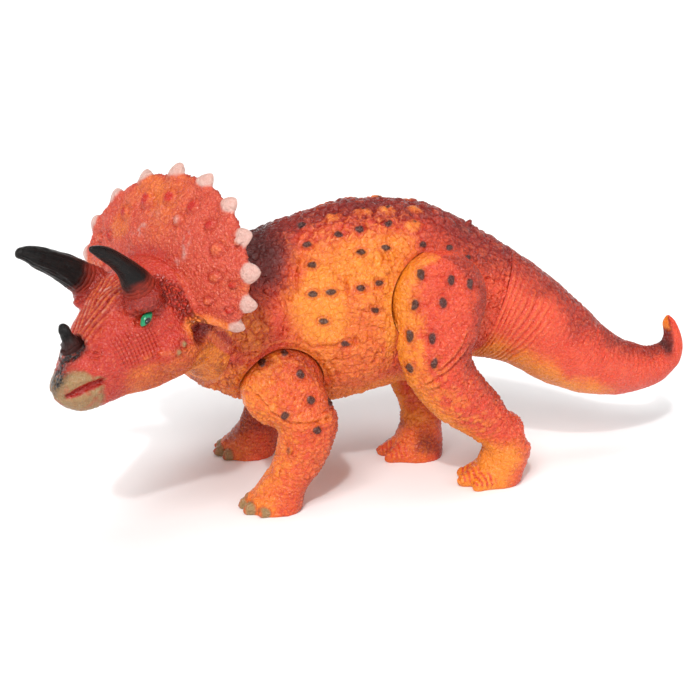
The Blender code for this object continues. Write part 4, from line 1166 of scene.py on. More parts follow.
def legSkin(key):
    place, kind = seats[key], key.split("_")[0]
    way = place["way"]
    leg = solidCopy(key + "_leg", "leg_skin_" + key)
    inner = (place["along"], way * (place["out"] - 14.0), place["height"])
    cutOrJoin(leg, "DIFFERENCE", [drum(inner, (0, way, 0), legSizes["plugRadius"], 14.0 + gap + 0.02)])
    toes = toesOf(key)
    rows = []
    for toe in toes:
        size = toe["radii"][[1, 2, 0]] * legSizes["nailSize"]
        rows.append({"at": toe["nail"], "way": toe["toward"], "side": toe["across"], "size": size})
    nails = knobsOn("nails", rows, 24, 0.15, skins["leg"])
    nails.data.materials.clear()
    castSkin(gather("leg_skin_" + key, [leg, nails]), legSizes["grid"], legSizes["softening"])
    leg = bpy.data.objects["leg_skin_" + key]
    points = pointsOf(leg)
    folded = points * (1, way, 1)
    relief = reliefOf(leg, folded)
    along, angle = alongRings(points, legRings(key, 48))
    front = -np.sin(angle)
    x, z = points[:, 0], points[:, 2]
    wobble, small = softNoise(points, 6.0, 31), softNoise(points, 2.2, 32)
    relief.lift += 0.35 * softNoise(points, 5.0, 33)
    foot = smoothStep(*legZones["foot"], z)
    thigh = smoothStep(place["height"] * 0.62, place["height"] * 0.8, z) if kind == "hind" else 0.0 * z
    bent = folded + 0.5 * small[:, None]
    owner = relief.scales(bent, *legSizes["scales"], (1 - foot) * (1 - thigh), 34, 0.28, 0.35)
    relief.scales(bent, *legSizes["thighScales"], thigh, 35, 0.25, 0.12)
    stretched = folded * (1.0, 1.0, 0.6) + 0.4 * small[:, None]
    relief.wrinkles(stretched, *legSizes["wrinkles"], 1 - foot, 37, 0.3)
    relief.scales(folded, *legSizes["footScales"], foot, 36, 0.3)
    relief.lift += 0.2 * small
    ankle = smoothStep(0.62, 0.72, along) * smoothStep(0.92, 0.84, along)
    relief.folds(along * 28 + 0.3 * wobble, 0.36, ankle, 0.45)
    relief.paint("ridge", ankle * bell(np.mod(along * 28 + 0.3 * wobble, 1.0) - 0.5, 0.18) * 0.3)
    for route in legFolds[kind]:
        if key.endswith("left") or kind == "front":
            relief.crease(farFrom(folded + 0.3 * small[:, None], route), 0.6, 0.6, shade=0.6)
            relief.ridge(farFrom(folded + (0.0, 0.0, -1.6) + 0.3 * small[:, None], route), 0.6, 0.5, shade=0.5)
    rim = place["radius"] - fromSeat(points, place)
    if kind == "front":
        upper = smoothStep(*legZones["shoulder"], z)
        relief.folds((rim + 0.45 * wobble) / 2.4, 0.4, upper * smoothStep(8.0, 4.0, rim), 0.5)
        relief.paint("ridge", bell(rim - 3.6, 0.6) * upper * 0.6)
    else:
        rear = smoothStep(*legZones["thighRear"], front) * smoothStep(60.0, 75.0, z)
        relief.folds((x + 0.25 * z + wobble) / 2.4, 0.4, rear, 0.5)
        upper = smoothStep(*legZones["thighTop"], z)
        relief.folds((rim + 0.45 * wobble) / 2.4, 0.34, upper * smoothStep(6.5, 3.0, rim) * (1 - rear), 0.4)
        hatch = smoothStep(0.1, 0.4, front) * smoothStep(0.97, 0.75, front) * bell(z - 78.0, 10.0)
        relief.folds(z / 2.2 + 0.1 * wobble, 0.4, hatch, 0.55)
        relief.folds(x / 2.2 + 0.1 * wobble, 0.4, hatch, 0.45)
        off = points - legRings(key, 11)["centre"][8] - legSizes["heelBehind"]
        relief.lift += legSizes["heelRise"] * bell(np.linalg.norm(off, axis=1), legSizes["heelReach"])
    if key == "hind_left":
        for centre, reach, rise in legKnob:
            relief.lift += rise * bell(np.linalg.norm(folded - centre, axis=1), reach)
    for centre in legSpots[kind]:
        stretch = (0.85, 1.3, 1.25) if kind == "hind" else (0.95, 1.3, 1.0)
        relief.wart(centre, *legSizes["wart"], stretch=stretch)
    relief.wart(redWart, *legSizes["redWart"], "maroon", (0.8, 1.0, 1.4), 0.7)
    # Toes: ribs across them, lines between them and pale nails.
    ribs = np.zeros(len(points))
    for toe in toes:
        off = points - toe["centre"]
        local = np.stack((off @ toe["toward"], off @ toe["across"], off[:, 2]), 1) / toe["radii"]
        near = np.linalg.norm(local, axis=1)
        on = smoothStep(1.35, 1.05, near) * smoothStep(-0.9, -0.3, local[:, 0]) * (z > 0.6)
        if kind == "hind":
            phase = (off @ toe["toward"]) / legSizes["rib"]
            relief.folds(phase, 0.4, on * (local[:, 2] > -0.2), 0.0)
            rib = on * smoothStep(-0.3, 0.5, np.cos(phase * 2 * math.pi)) * smoothStep(-0.2, 0.2, local[:, 2])
            ribs = np.maximum(ribs, rib)
        else:
            nail = np.linalg.norm((points - toe["nail"]) / (toe["radii"][0] * 0.5), axis=1) + 0.1 * small
            relief.paint("tan", smoothStep(1.25, 0.95, nail))
            relief.crease(np.abs(nail - 1.15) * toe["radii"][0] * 0.5, 0.35, 0.3)
    # Sprayed colours, and painted shade on the rear of each leg and on the far legs.
    if kind == "hind":
        yellow = smoothStep(*legZones["hindYellow"], front + 0.16 * wobble + 0.18 * small)
        yellow = yellow * smoothStep(*legZones["hindYellowTop"], z + 2 * wobble)
        low = 0.95 * smoothStep(*legZones["heelYellow"], z + 3 * wobble) * smoothStep(-0.9, 0.1, front + 0.2 * wobble)
        yellow = np.maximum(yellow, low)
        specks = smoothStep(0.45, 0.7, owner) * smoothStep(-0.5, 0.4, front)
        specks = specks * smoothStep(*legZones["specksTop"], z) * smoothStep(20, 30, z)
        yellow = np.maximum(yellow, 0.5 * specks) * (1 - 0.9 * ribs)
        shade = smoothStep(-0.5, -0.95, front + 0.15 * wobble) * smoothStep(20.0, 40.0, z) * 0.5
    else:
        yellow = 0.2 + 0.3 * smoothStep(*legZones["frontYellow"], front + 0.25 * wobble)
        yellow = yellow + 0.28 * smoothStep(0.5, 0.8, owner) * smoothStep(-0.4, 0.5, front)
        low = 0.75 * smoothStep(*legZones["frontFoot"], z + 2 * wobble) * smoothStep(-0.3, 0.5, front)
        yellow = np.maximum(yellow, low)
        yellow = np.maximum(yellow, 0.5 * bell(farFrom(folded, legFolds["front"][0]), 2.2))
        shade = smoothStep(-0.6, -1.0, front + 0.15 * wobble) * 0.3
    # The far legs, on the right, are painted darker in blotches and less yellow: painted shade.
    if way > 0:
        yellow *= 1 - 0.6 * smoothStep(18.0, 11.0, z + wobble) if kind == "hind" else 0.5
        blotch = smoothStep(-0.3, 0.4, softNoise(points, 8.0, 41))
        if kind == "hind":
            strength, low = 0.55, smoothStep(*legZones["blotchLow"], z)
        else:
            strength, low = 0.8, smoothStep(*legZones["blotchTop"], z) * 0.6 + smoothStep(20.0, 36.0, z) * 0.4
        shade = np.maximum(shade, strength * blotch * low)
    relief.paint("yellow", yellow)
    relief.paint("maroon", shade)
    for name in ("dark", "tan"):
        relief.paint(name, 0.0 * z)  # the finish reads both on every leg
    # The dome's wall keeps to the seat's circle.
    off = np.stack((x - place["along"], z - place["height"]), 1)
    spread = fromSeat(points, place)
    onWall = (np.abs(spread - place["radius"]) < legSizes["wall"]) & (np.abs(relief.normals[:, 1]) < 0.75)
    onWall &= points[:, 1] * way > place["out"] + 0.7
    onWall &= z > place["height"] - place["radius"] * 0.35
    grown = np.where(onWall, place["radius"] / np.maximum(spread, 1e-6), 1.0)
    points[:, 0] = place["along"] + off[:, 0] * grown
    points[:, 2] = place["height"] + off[:, 1] * grown
    relief.lift[onWall] = 0.0
    inside = smoothStep(place["out"] + 0.8, place["out"] + 2.6, points[:, 1] * way)
    relief.lift *= np.where(z > place["height"] - place["radius"] - 4.0, inside, 1.0)
    relief.lift *= smoothStep(0.2, 2.0, z)
    points = clearOfTrunk(relief.moved(), place)
    points[:, 2] = np.maximum(points[:, 2], 0.0)
    setPoints(leg, points)
    carryPaint(leg, points, relief.masks)
    slot = "yellow_vinyl" if kind == "hind" else "orange_vinyl"
    finishPiece(leg, key + "_leg", skins["leg"], key + "_leg")


for key in seats:
    legSkin(key)
print("stage: legs")

# Tail.
tailSizes = {
    "reach": 80.0,
    "sideCurl": 12.5,
    "halfWidth": 18.0,
    "halfHeight": 22.4,
    "ringsAlong": 330,
    "around": 260,
    "rootPitch": 2.7,
    "ringPitch": 2.4,
    "upperScales": (1.7, 0.34),
    "lowerScales": (1.2, 0.14),
    "root": (30.0, 12.0),
    "ringStart": (14.0, 28.0),
    "ringEnd": (92.0, 80.0),
    "tip": (84.0, 92.0),
    "top": (0.45, 1.02),
    "stripe": (-0.22, -0.82),
    "stripeEnd": (68.0, 48.0),
    "inner": (98.0, 101.0),
}
# along, height (of the root's), sideways, half width, half height, tilt
tailShares = [
    (0.00, 1.000, 0.00, 1.00, 1.000, -22.0), (0.12, 0.926, 0.02, 0.93, 0.900, -28.0),
    (0.24, 0.838, 0.04, 0.87, 0.815, -35.0), (0.40, 0.688, 0.08, 0.80, 0.725, -38.0),
    (0.51, 0.604, 0.12, 0.72, 0.643, -32.0), (0.64, 0.536, 0.20, 0.62, 0.536, -17.0),
    (0.77, 0.508, 0.32, 0.50, 0.430, -5.0), (0.89, 0.506, 0.48, 0.39, 0.340, 12.0),
    (0.98, 0.565, 0.64, 0.29, 0.250, 48.0), (1.00, 0.652, 0.80, 0.18, 0.156, 85.0),
    (0.985, 0.734, 0.96, 0.12, 0.107, 100.0), (0.98, 0.775, 1.00, 0.03, 0.030, 95.0),
]  # fmt: skip


def tailSkin():
    end = trunkRings(9)
    start, away = end["centre"][-1], end["run"][-1]
    rows = throughRows(tailShares, tailSizes["ringsAlong"])
    centre = np.stack(
        (start[0] + tailSizes["reach"] * rows[:, 0], tailSizes["sideCurl"] * rows[:, 2], start[2] * rows[:, 1]), 1
    )
    width, height = tailSizes["halfWidth"] * rows[:, 3], tailSizes["halfHeight"] * rows[:, 4]
    rings = ringsOf(centre + away * seamGap, sectionAxes(0.0, rows[:, 5]), width, height)
    angles = np.linspace(0, 2 * math.pi, tailSizes["around"], endpoint=False)
    tail = closedGrid("tail_skin", ringGrid(rings, angles))
    relief = reliefOf(tail)
    points = relief.points
    along = np.repeat(np.linspace(0, 1, len(rows)), len(angles))
    up = np.sin(np.tile(angles, len(rows)))
    across = np.cos(np.tile(angles, len(rows)))
    run = np.concatenate(([0], np.cumsum(np.linalg.norm(np.diff(centre, axis=0), axis=1))))
    run = np.repeat(run, len(angles))
    wobble, small = softNoise(points, 6.0, 51), softNoise(points, 2.0, 52)
    relief.lift += 0.35 * softNoise(points, 6.0, 53)
    lower = smoothStep(0.97, 0.45, up + 0.12 * wobble)
    root = smoothStep(*tailSizes["root"], run + 2.0 * wobble)
    bowed = run + 2.2 * (1 - up) * smoothStep(0.0, 8.0, run) + 0.8 * wobble * smoothStep(0.0, 5.0, run)
    bowed = bowed / tailSizes["rootPitch"]
    relief.folds(bowed, 0.85, root * lower, 0.75)
    # The crests of the folds are painted lighter: a painted highlight.
    relief.paint("ridge", bell(np.mod(bowed, 1.0) - 0.5, 0.14) * root * lower * 0.45)
    rings = smoothStep(*tailSizes["ringStart"], run) * smoothStep(*tailSizes["ringEnd"], run)
    uneven = smoothStep(-0.5, 0.3, softNoise(points * (0.25, 1.0, 1.0), 4.0, 54))
    phase = (run + 0.9 * wobble + 0.35 * small) / tailSizes["ringPitch"]
    relief.folds(phase, 0.65, rings * uneven * smoothStep(-0.7, 0.3, up), 0.75)
    scaled = np.stack((run * 0.8, np.tile(angles, len(rows)) * 14.0, 0 * run), 1)
    scaled += 0.3 * small[:, None]
    above = smoothStep(0.0, 0.6, up + 0.1 * wobble) * (1 - 0.7 * root * lower)
    relief.scales(scaled, *tailSizes["upperScales"], above, 55, 0.5, 0.15)
    relief.scales(scaled, *tailSizes["lowerScales"], smoothStep(0.5, 0.0, up) * (1 - root), 56, 0.1)
    top = smoothStep(*tailSizes["top"], up + 0.14 * wobble + 0.08 * small)
    tip = smoothStep(*tailSizes["tip"], run)
    relief.paint("maroon", np.maximum(top * 0.62, tip * smoothStep(-0.2, 0.6, up + 0.3 * wobble) * 0.9))
    relief.paint("maroon", 0.5 * bell(run - 33.0 + 3 * wobble, 4.0) * smoothStep(0.1, 0.7, up))
    speckle = smoothStep(0.7, 0.98, up + 0.1 * small) * smoothStep(0.1, 0.7, softNoise(points, 2.2, 57) + 0.3) * 0.22
    relief.paint("dark", np.maximum(speckle, bell(run - 91.0, 4.5) * smoothStep(0.1, 0.7, up + 0.3 * small) * 0.8))
    stripe = smoothStep(*tailSizes["stripe"], up + 0.16 * wobble + 0.06 * small)
    stripe = stripe * smoothStep(*tailSizes["stripeEnd"], run + 3 * wobble)
    inner = smoothStep(*tailSizes["inner"], run) * smoothStep(0.0, 0.5, up)
    relief.paint("yellow", np.maximum(stripe * 0.95, inner * 0.85))
    for name in ("maroon", "dark"):
        relief.masks[name] = relief.masks[name] * (1 - inner)
    relief.lift *= smoothStep(0.0, 0.9, run) * smoothStep(1.0, 0.97, along)
    applyRelief(tail, relief)
    finishPiece(tail, "tail", skins["tail"], "tail")


tailSkin()
print("stage: tail")

# Head: places on it are forward, left and up from the point between the brow horns.
headSizes = {
    "brow": (-89.2, -43.0, 95.788),
    "turn": 40.0,
    "tilt": 15.0,
    "roll": -7.0,
    "length": 36.0,
    "halfWidth": 21.0,
    "halfHeight": 22.2,
    "drop": 21.2,
    "grid": 0.5,
    "softening": 12,
}
skullShares = [
    (1.000, 1.108, 0.07, 0.113),
    (0.944, 1.170, 0.21, 0.234),
    (0.833, 1.180, 0.36, 0.383),
    (0.640, 1.130, 0.50, 0.518),
    (0.375, 1.047, 0.67, 0.685),
    (0.083, 1.014, 0.83, 0.878),
    (-0.194, 1.000, 0.95, 0.955),
    (-0.444, 1.000, 1.00, 1.000),
]
headAxes = [axis[0] for axis in sectionAxes(headSizes["turn"], headSizes["tilt"], headSizes["roll"])]
frillSizes = {
    "back": 20.5,
    "drop": 7.3,
    "halfWidth": 41.3,
    "halfHeight": 27.0,
    "lean": 20.5,
    "dish": 7.0,
    "level": 0.5,
    "curl": 7.4,
    "thickness": 4.2,
    "edge": 2.6,
    "openAngle": 138.0,
    "close": 0.45,
    "spokes": 240,
    "rings": 40,
    "studs": 13,
    "studSpread": 264.0,
    "stud": (3.7, 2.1, 4.2),
    "bumpShare": 0.82,
}


def headPlace(forward, left, up):
    run, side, top = headAxes
    forward, left, up = (np.asarray(part, float)[..., None] for part in (forward, left, up))
    return np.array(headSizes["brow"]) - run * forward - side * left + top * up


def skullForm():
    rows = throughRows(skullShares, 70)
    centre = headPlace(headSizes["length"] * rows[:, 0], 0 * rows[:, 0], -headSizes["drop"] * rows[:, 1])
    axes = [np.repeat(axis[None], len(rows), 0) for axis in headAxes]
    rings = ringsOf(centre, axes, headSizes["halfWidth"] * rows[:, 2], headSizes["halfHeight"] * rows[:, 3])
    angles = np.linspace(0, 2 * math.pi, 120, endpoint=False)
    skull = ringGrid(rings, angles, 2.3)
    share = np.linspace(0, 1, 26)[1:]
    goal = neckMiddle + neckRun * 2.0
    turns = (headSizes["turn"], trunkSizes["neckTurn"]), (headSizes["tilt"], 0), (headSizes["roll"], 0)
    steps = [start * (1 - share) + end * share for start, end in turns]
    width = headSizes["halfWidth"] * (1 - share) + trunkSizes["neckRadius"] * share
    height = headSizes["halfHeight"] * (1 - share) + trunkSizes["neckRadius"] * share
    middle = centre[-1] * (1 - share)[:, None] + goal * share[:, None]
    throat = ringGrid(ringsOf(middle, sectionAxes(*steps), width, height), angles, 2.1)
    return closedGrid("skull", np.concatenate((skull, throat)))


def frillPlace(angle, share, back):
    angle, share = np.broadcast_arrays(np.asarray(angle, float), np.asarray(share, float))
    fade = np.clip((np.abs(angle) - frillSizes["openAngle"]) / (180.0 - frillSizes["openAngle"]), 0, 1)
    reach = share * (1 - frillSizes["close"] * fade)
    across = frillSizes["halfWidth"] * reach * np.sin(np.radians(angle))
    up = frillSizes["halfHeight"] * reach * np.cos(np.radians(angle))
    curl = frillSizes["curl"] * (up / frillSizes["halfHeight"]) ** 2
    lean = math.tan(math.radians(frillSizes["lean"]))
    behind = frillSizes["back"] + lean * up + curl + frillSizes["dish"] * (reach**2 - frillSizes["level"]) + back
    return headPlace(-behind, across, up - frillSizes["drop"])


def frillForm():
    spokes = np.linspace(-180, 180, frillSizes["spokes"], endpoint=False)
    share = np.linspace(0.04, 1, frillSizes["rings"])[:, None]
    thick = frillSizes["thickness"] * (1 - share) + frillSizes["edge"] * share
    front = frillPlace(spokes, share, -thick / 2)
    back = frillPlace(spokes, share[::-1], thick[::-1] / 2)
    return closedGrid("frill", np.concatenate((front, back)))


def studRows():
    rows = []
    for angle in np.linspace(-0.5, 0.5, frillSizes["studs"]) * frillSizes["studSpread"]:
        edge, inner = frillPlace(angle, 1.0, 0.0), frillPlace(angle, 0.8, 0.0)
        way = (edge - inner) / np.linalg.norm(edge - inner)
        along = frillPlace(angle + 2, 1.0, 0.0) - frillPlace(angle - 2, 1.0, 0.0)
        along /= np.linalg.norm(along)
        rows.append({"at": edge + way * 0.2, "way": way, "side": along, "size": frillSizes["stud"]})
    return rows


hornSizes = {
    "brow_horn_left": {"left": 1.0, "rise": 75.5, "bend": 40.0, "splay": 6.4, "length": 28.2, "radius": 6.0},
    "brow_horn_right": {"left": -1.0, "rise": 57.5, "bend": 22.0, "splay": 6.4, "length": 28.2, "radius": 6.0},
    "nose_horn": {"left": 0.0, "rise": 86.0, "bend": 0.0, "splay": 0.0, "length": 9.7, "radius": 4.2},
}
# The far horn is blunter and rougher than the near one.
hornLooks = {
    "brow_horn_left": {"tip": 1.5, "slim": 0.3, "grain": 0.12},
    "brow_horn_right": {"tip": 2.3, "slim": 0.04, "grain": 0.3},
    "nose_horn": {"tip": 1.5, "slim": 0.26, "grain": 0.12},
}
hornPlaces = {
    "spacing": 29.0,
    "seatDepth": 1.4,
    "noseForward": 23.6,
    "noseDrop": 11.9,
    "tipShare": 0.6,
    "browBoss": (0.5, 1.13),
    "noseBoss": (0.85, 1.3),
    "taper": 0.8,
    "ringsAlong": 150,
    "around": 120,
}


def hornBase(key):
    left = hornSizes[key]["left"]
    if left:
        return headPlace(0.0, left * hornPlaces["spacing"] / 2, -hornPlaces["seatDepth"])
    return headPlace(hornPlaces["noseForward"], 0.0, -hornPlaces["noseDrop"] - hornPlaces["seatDepth"])


def hornWay(key, share=0.0):
    run, side, top = headAxes
    sizes = hornSizes[key]
    rise = math.radians(sizes["rise"] - sizes["bend"] * share)
    way = -run * math.cos(rise) + top * math.sin(rise) - side * sizes["left"] * math.sin(math.radians(sizes["splay"]))
    return way / np.linalg.norm(way)


def hornSkin(key):
    sizes, looks, count = hornSizes[key], hornLooks[key], hornPlaces["ringsAlong"]
    share = np.linspace(0, 1, count)
    ways = np.array([hornWay(key, part) for part in share])
    centre = hornBase(key) + np.concatenate(([[0, 0, 0]], np.cumsum(ways[:-1], 0))) * (sizes["length"] / (count - 1))
    across = np.cross(ways, headAxes[2])
    across /= np.linalg.norm(across, axis=1)[:, None]
    span = sizes["radius"] * (1 - share) ** hornPlaces["taper"] + looks["tip"] * share
    span = span * (1 - share**8) + looks["tip"] * hornPlaces["tipShare"] * share**8
    span *= 1 - looks["slim"] * bell(share - 0.48, 0.34)
    span *= np.sqrt(np.clip(1 - ((share - 0.965) / 0.036).clip(0) ** 2, 0.02, 1))
    rings = ringsOf(centre, (ways, across, np.cross(across, ways)), span, span)
    angles = np.linspace(0, 2 * math.pi, hornPlaces["around"], endpoint=False)
    horn = closedGrid(key + "_skin", ringGrid(rings, angles))
    relief = reliefOf(horn)
    along, around = np.repeat(share, len(angles)), np.tile(angles, count)
    length = along * sizes["length"]
    wobble = softNoise(relief.points, 3.0, 61)
    collar = smoothStep(7.0, 3.0, length) if sizes["left"] else smoothStep(3.0, 1.2, length)
    relief.folds((length + 0.5 * wobble) / 1.5, 0.4, collar, 0.0)
    streaks = softNoise(np.stack((np.cos(around) * 9, np.sin(around) * 9, length * 0.25), 1), 1.2, 62)
    relief.lift += looks["grain"] * streaks * smoothStep(0.0, 0.2, along) * smoothStep(1.0, 0.9, along)
    if key == "brow_horn_right":
        relief.lift += 0.5 * wobble * smoothStep(0.6, 0.85, along)
    if key == "nose_horn":
        relief.lift += 0.55 * softNoise(relief.points, 1.9, 63) * smoothStep(0.95, 0.7, along)
    relief.paint("worn", smoothStep(6.0, 0.5, length + 1.5 * wobble) * (0.9 if sizes["left"] else 0.1))
    relief.paint("streak", 0.5 + 0.5 * streaks)
    relief.lift *= smoothStep(0.0, 0.5, length)
    applyRelief(horn, relief)
    finishPiece(horn, "head", hornBlack, key)


def hornFinish():
    finish = Finish("horn_black")
    fine = finish.noise(0.0011, 4.0, 0.7)
    broad = finish.noise(0.004, 3.0, 0.6)
    tone = finish.colour((finish.mask("streak") * 0.7 + broad * 0.5 - 0.3).clamp(), (5, 4, 4), (30, 25, 23))
    tone = finish.colour((finish.mask("worn") * (fine * 2.4 - 0.3)).clamp(), tone, (150, 44, 28))
    scratches = finish.bump(finish.noise(0.0022, 5.0, 0.7, 0.5), 0.0005)
    rough = (0.2 + fine * 0.2 + finish.mask("worn") * 0.15).clamp()
    return finish.put(Base_Color=tone, Roughness=rough, Normal=scratches, Specular_IOR_Level=0.2)


# Places on the left of the face: forward, out and up.
facePlaces = {
    "eye": (3.4, 17.2, -11.2),
    "nostril": (21.3, 8.6, -15.1),
    "noseRing": (25.6, 0.0, -12.6),
    "hollow": (-13.0, 20.9, -26.0),
    "cheekWarts": [(-3.8, 22.0, -24.3), (-0.9, 21.7, -25.8)],
    "earRim": [
        (-8.5, 20.6, -27.0), (-8.3, 20.3, -22.5), (-9.5, 20.3, -19.9),
        (-12.5, 21.2, -19.6), (-15.5, 24.5, -21.6), (-18.8, 30.0, -25.6),
    ],
    "neckFold": [(-8.5, 19.6, -27.6), (-12.0, 19.0, -29.6), (-17.0, 17.0, -32.0), (-22.5, 13.5, -34.3)],
    "jawArc": [(8.5, 15.6, -23.5), (4.5, 18.9, -23.8), (0.7, 21.0, -25.3)],
    "brow": [(9.5, 14.5, -6.6), (3.0, 17.8, -6.2), (-3.5, 18.6, -8.6)],
    "mouthCorner": 22.6,
    "mouthUp": -24.5,
    "mouthMiddle": 28.6,
    "mouthHalf": 6.4,
    "beakTop": (33.0, 0.5, -18.0),
    "beakTopSize": (4.6, 3.6, 6.5),
    "hollowSize": (4.4, 6.0, 3.3),
    "hollowDepth": 2.0,
    "nostrilRadius": 2.1,
    "noseRingRadius": 5.6,
    "pitted": [(-7.5, 0, -6.0), (-11.5, 0, -13.0), (-14.0, 0, -20.0)],
    "wart": (1.3, 0.8),
}  # fmt: skip
# "sunk" is how far the left and the right eye lie under the skin.
eyeSizes = {"long": 3.1, "high": 1.65, "socketHigh": 1.75, "deep": 1.6, "slant": 24.0, "sunk": {1.0: 0.4, -1.0: 1.8}}
# Bumps on the frill: out and up, a radius, and the mask each one is painted with.
frillBumps = [
    (29.4, 1.5, 2.3, "ridge"), (29.3, -6.6, 2.2, "ridge"), (25.4, -14.5, 1.7, "ridge"),
    (24.1, 8.2, 1.8, "glossRed"), (14.3, 12.9, 2.3, "glossRed"), (9.9, 9.6, 1.9, "creamPaintAndGlint"),
    (-9.4, 13.7, 2.6, "glossRed"), (2.1, 14.7, 2.3, "glossRed"), (-19.7, 9.7, 2.2, "glossRed"),
    (-25.6, 2.7, 1.5, "glossRed"), (37.3, 3.6, 1.7, "ridge"), (36.1, -9.3, 1.5, "glossRed"),
    (32.7, -18.2, 1.4, "glossRed"), (-29.4, -6.6, 2.0, "ridge"), (-33.0, 1.0, 1.8, "ridge"),
    (-34.0, -12.0, 1.6, "glossRed"),
]  # fmt: skip
# Pale cream streaks on the frill, from and to: out and up.
frillPaleStreaks = [
    ((16.7, -0.2), (16.3, 4.9)), ((-7.5, 5.8), (-5.0, 8.0)), ((-2.0, 10.4), (0.5, 12.0)),
    ((-11.0, 1.3), (-10.0, 3.6)), ((12.7, -2.7), (14.0, -1.8)), ((16.4, 3.5), (17.5, 6.5)),
]  # fmt: skip


# Where each zone of the head starts and where it is full: forward, up, or out.
headZones = {
    "foreheadOut": (9.0, 5.5),
    "foreheadUp": (-7.0, -2.0),
    "foreheadBack": (-6.0, 0.0),
    "strandsEnd": (26.0, 18.0),
    "hatchBack": (0.5, 3.5),
    "hatchFront": (19.0, 15.0),
    "hatchTop": (-11.5, -14.0),
    "hatchLow": (-27.0, -22.0),
    "snoutBack": (24.0, 28.0),
    "snoutUp": (-26.0, -18.0),
    "beakTop": (-17.0, -19.5),
    "throatBack": (-2.0, -12.0),
    "throatLow": (-28.0, -33.0),
    "chinLow": (-24.0, -29.0),
    "chinFront": (20.0, 12.0),
}
# Round the eye, over it and at the hinge of the jaw: place and radii.
headMounds = [
    ((2.6, 15.0, -11.4), (2.6, 2.6, 2.6)),
    ((0.0, 12.9, -6.84), (8.0, 3.4, 3.4)),
    ((-5.3, 17.0, -27.0), (10.4, 5.6, 8.0)),
]


def headForm():
    forms = [skullForm(), frillForm(), knobsOn("studs", studRows(), 32, 0.3, skins["head"])]
    for key, sizes in hornSizes.items():
        way = hornWay(key)
        sunk, wide = hornPlaces["browBoss"] if sizes["left"] else hornPlaces["noseBoss"]
        boss = hornBase(key) - way * sizes["radius"] * sunk
        forms.append(ball(boss, headAxes, [sizes["radius"] * wide] * 3))
    for left in (1.0, -1.0):
        for (forward, out, up), radii in headMounds:
            forms.append(ball(headPlace(forward, left * out, up), headAxes, radii))
    for route, radius in ((facePlaces["earRim"], 1.45), (facePlaces["neckFold"], 2.1)):
        for left in (1.0, -1.0):
            for forward, out, up in throughRows(route, 26):
                forms.append(ball(headPlace(forward, left * (out - 0.5), up), headAxes, [radius] * 3, 2))
    head = gather("head_skin", forms)
    head.data.materials.clear()
    castSkin(head, headSizes["grid"], headSizes["softening"])
    return head


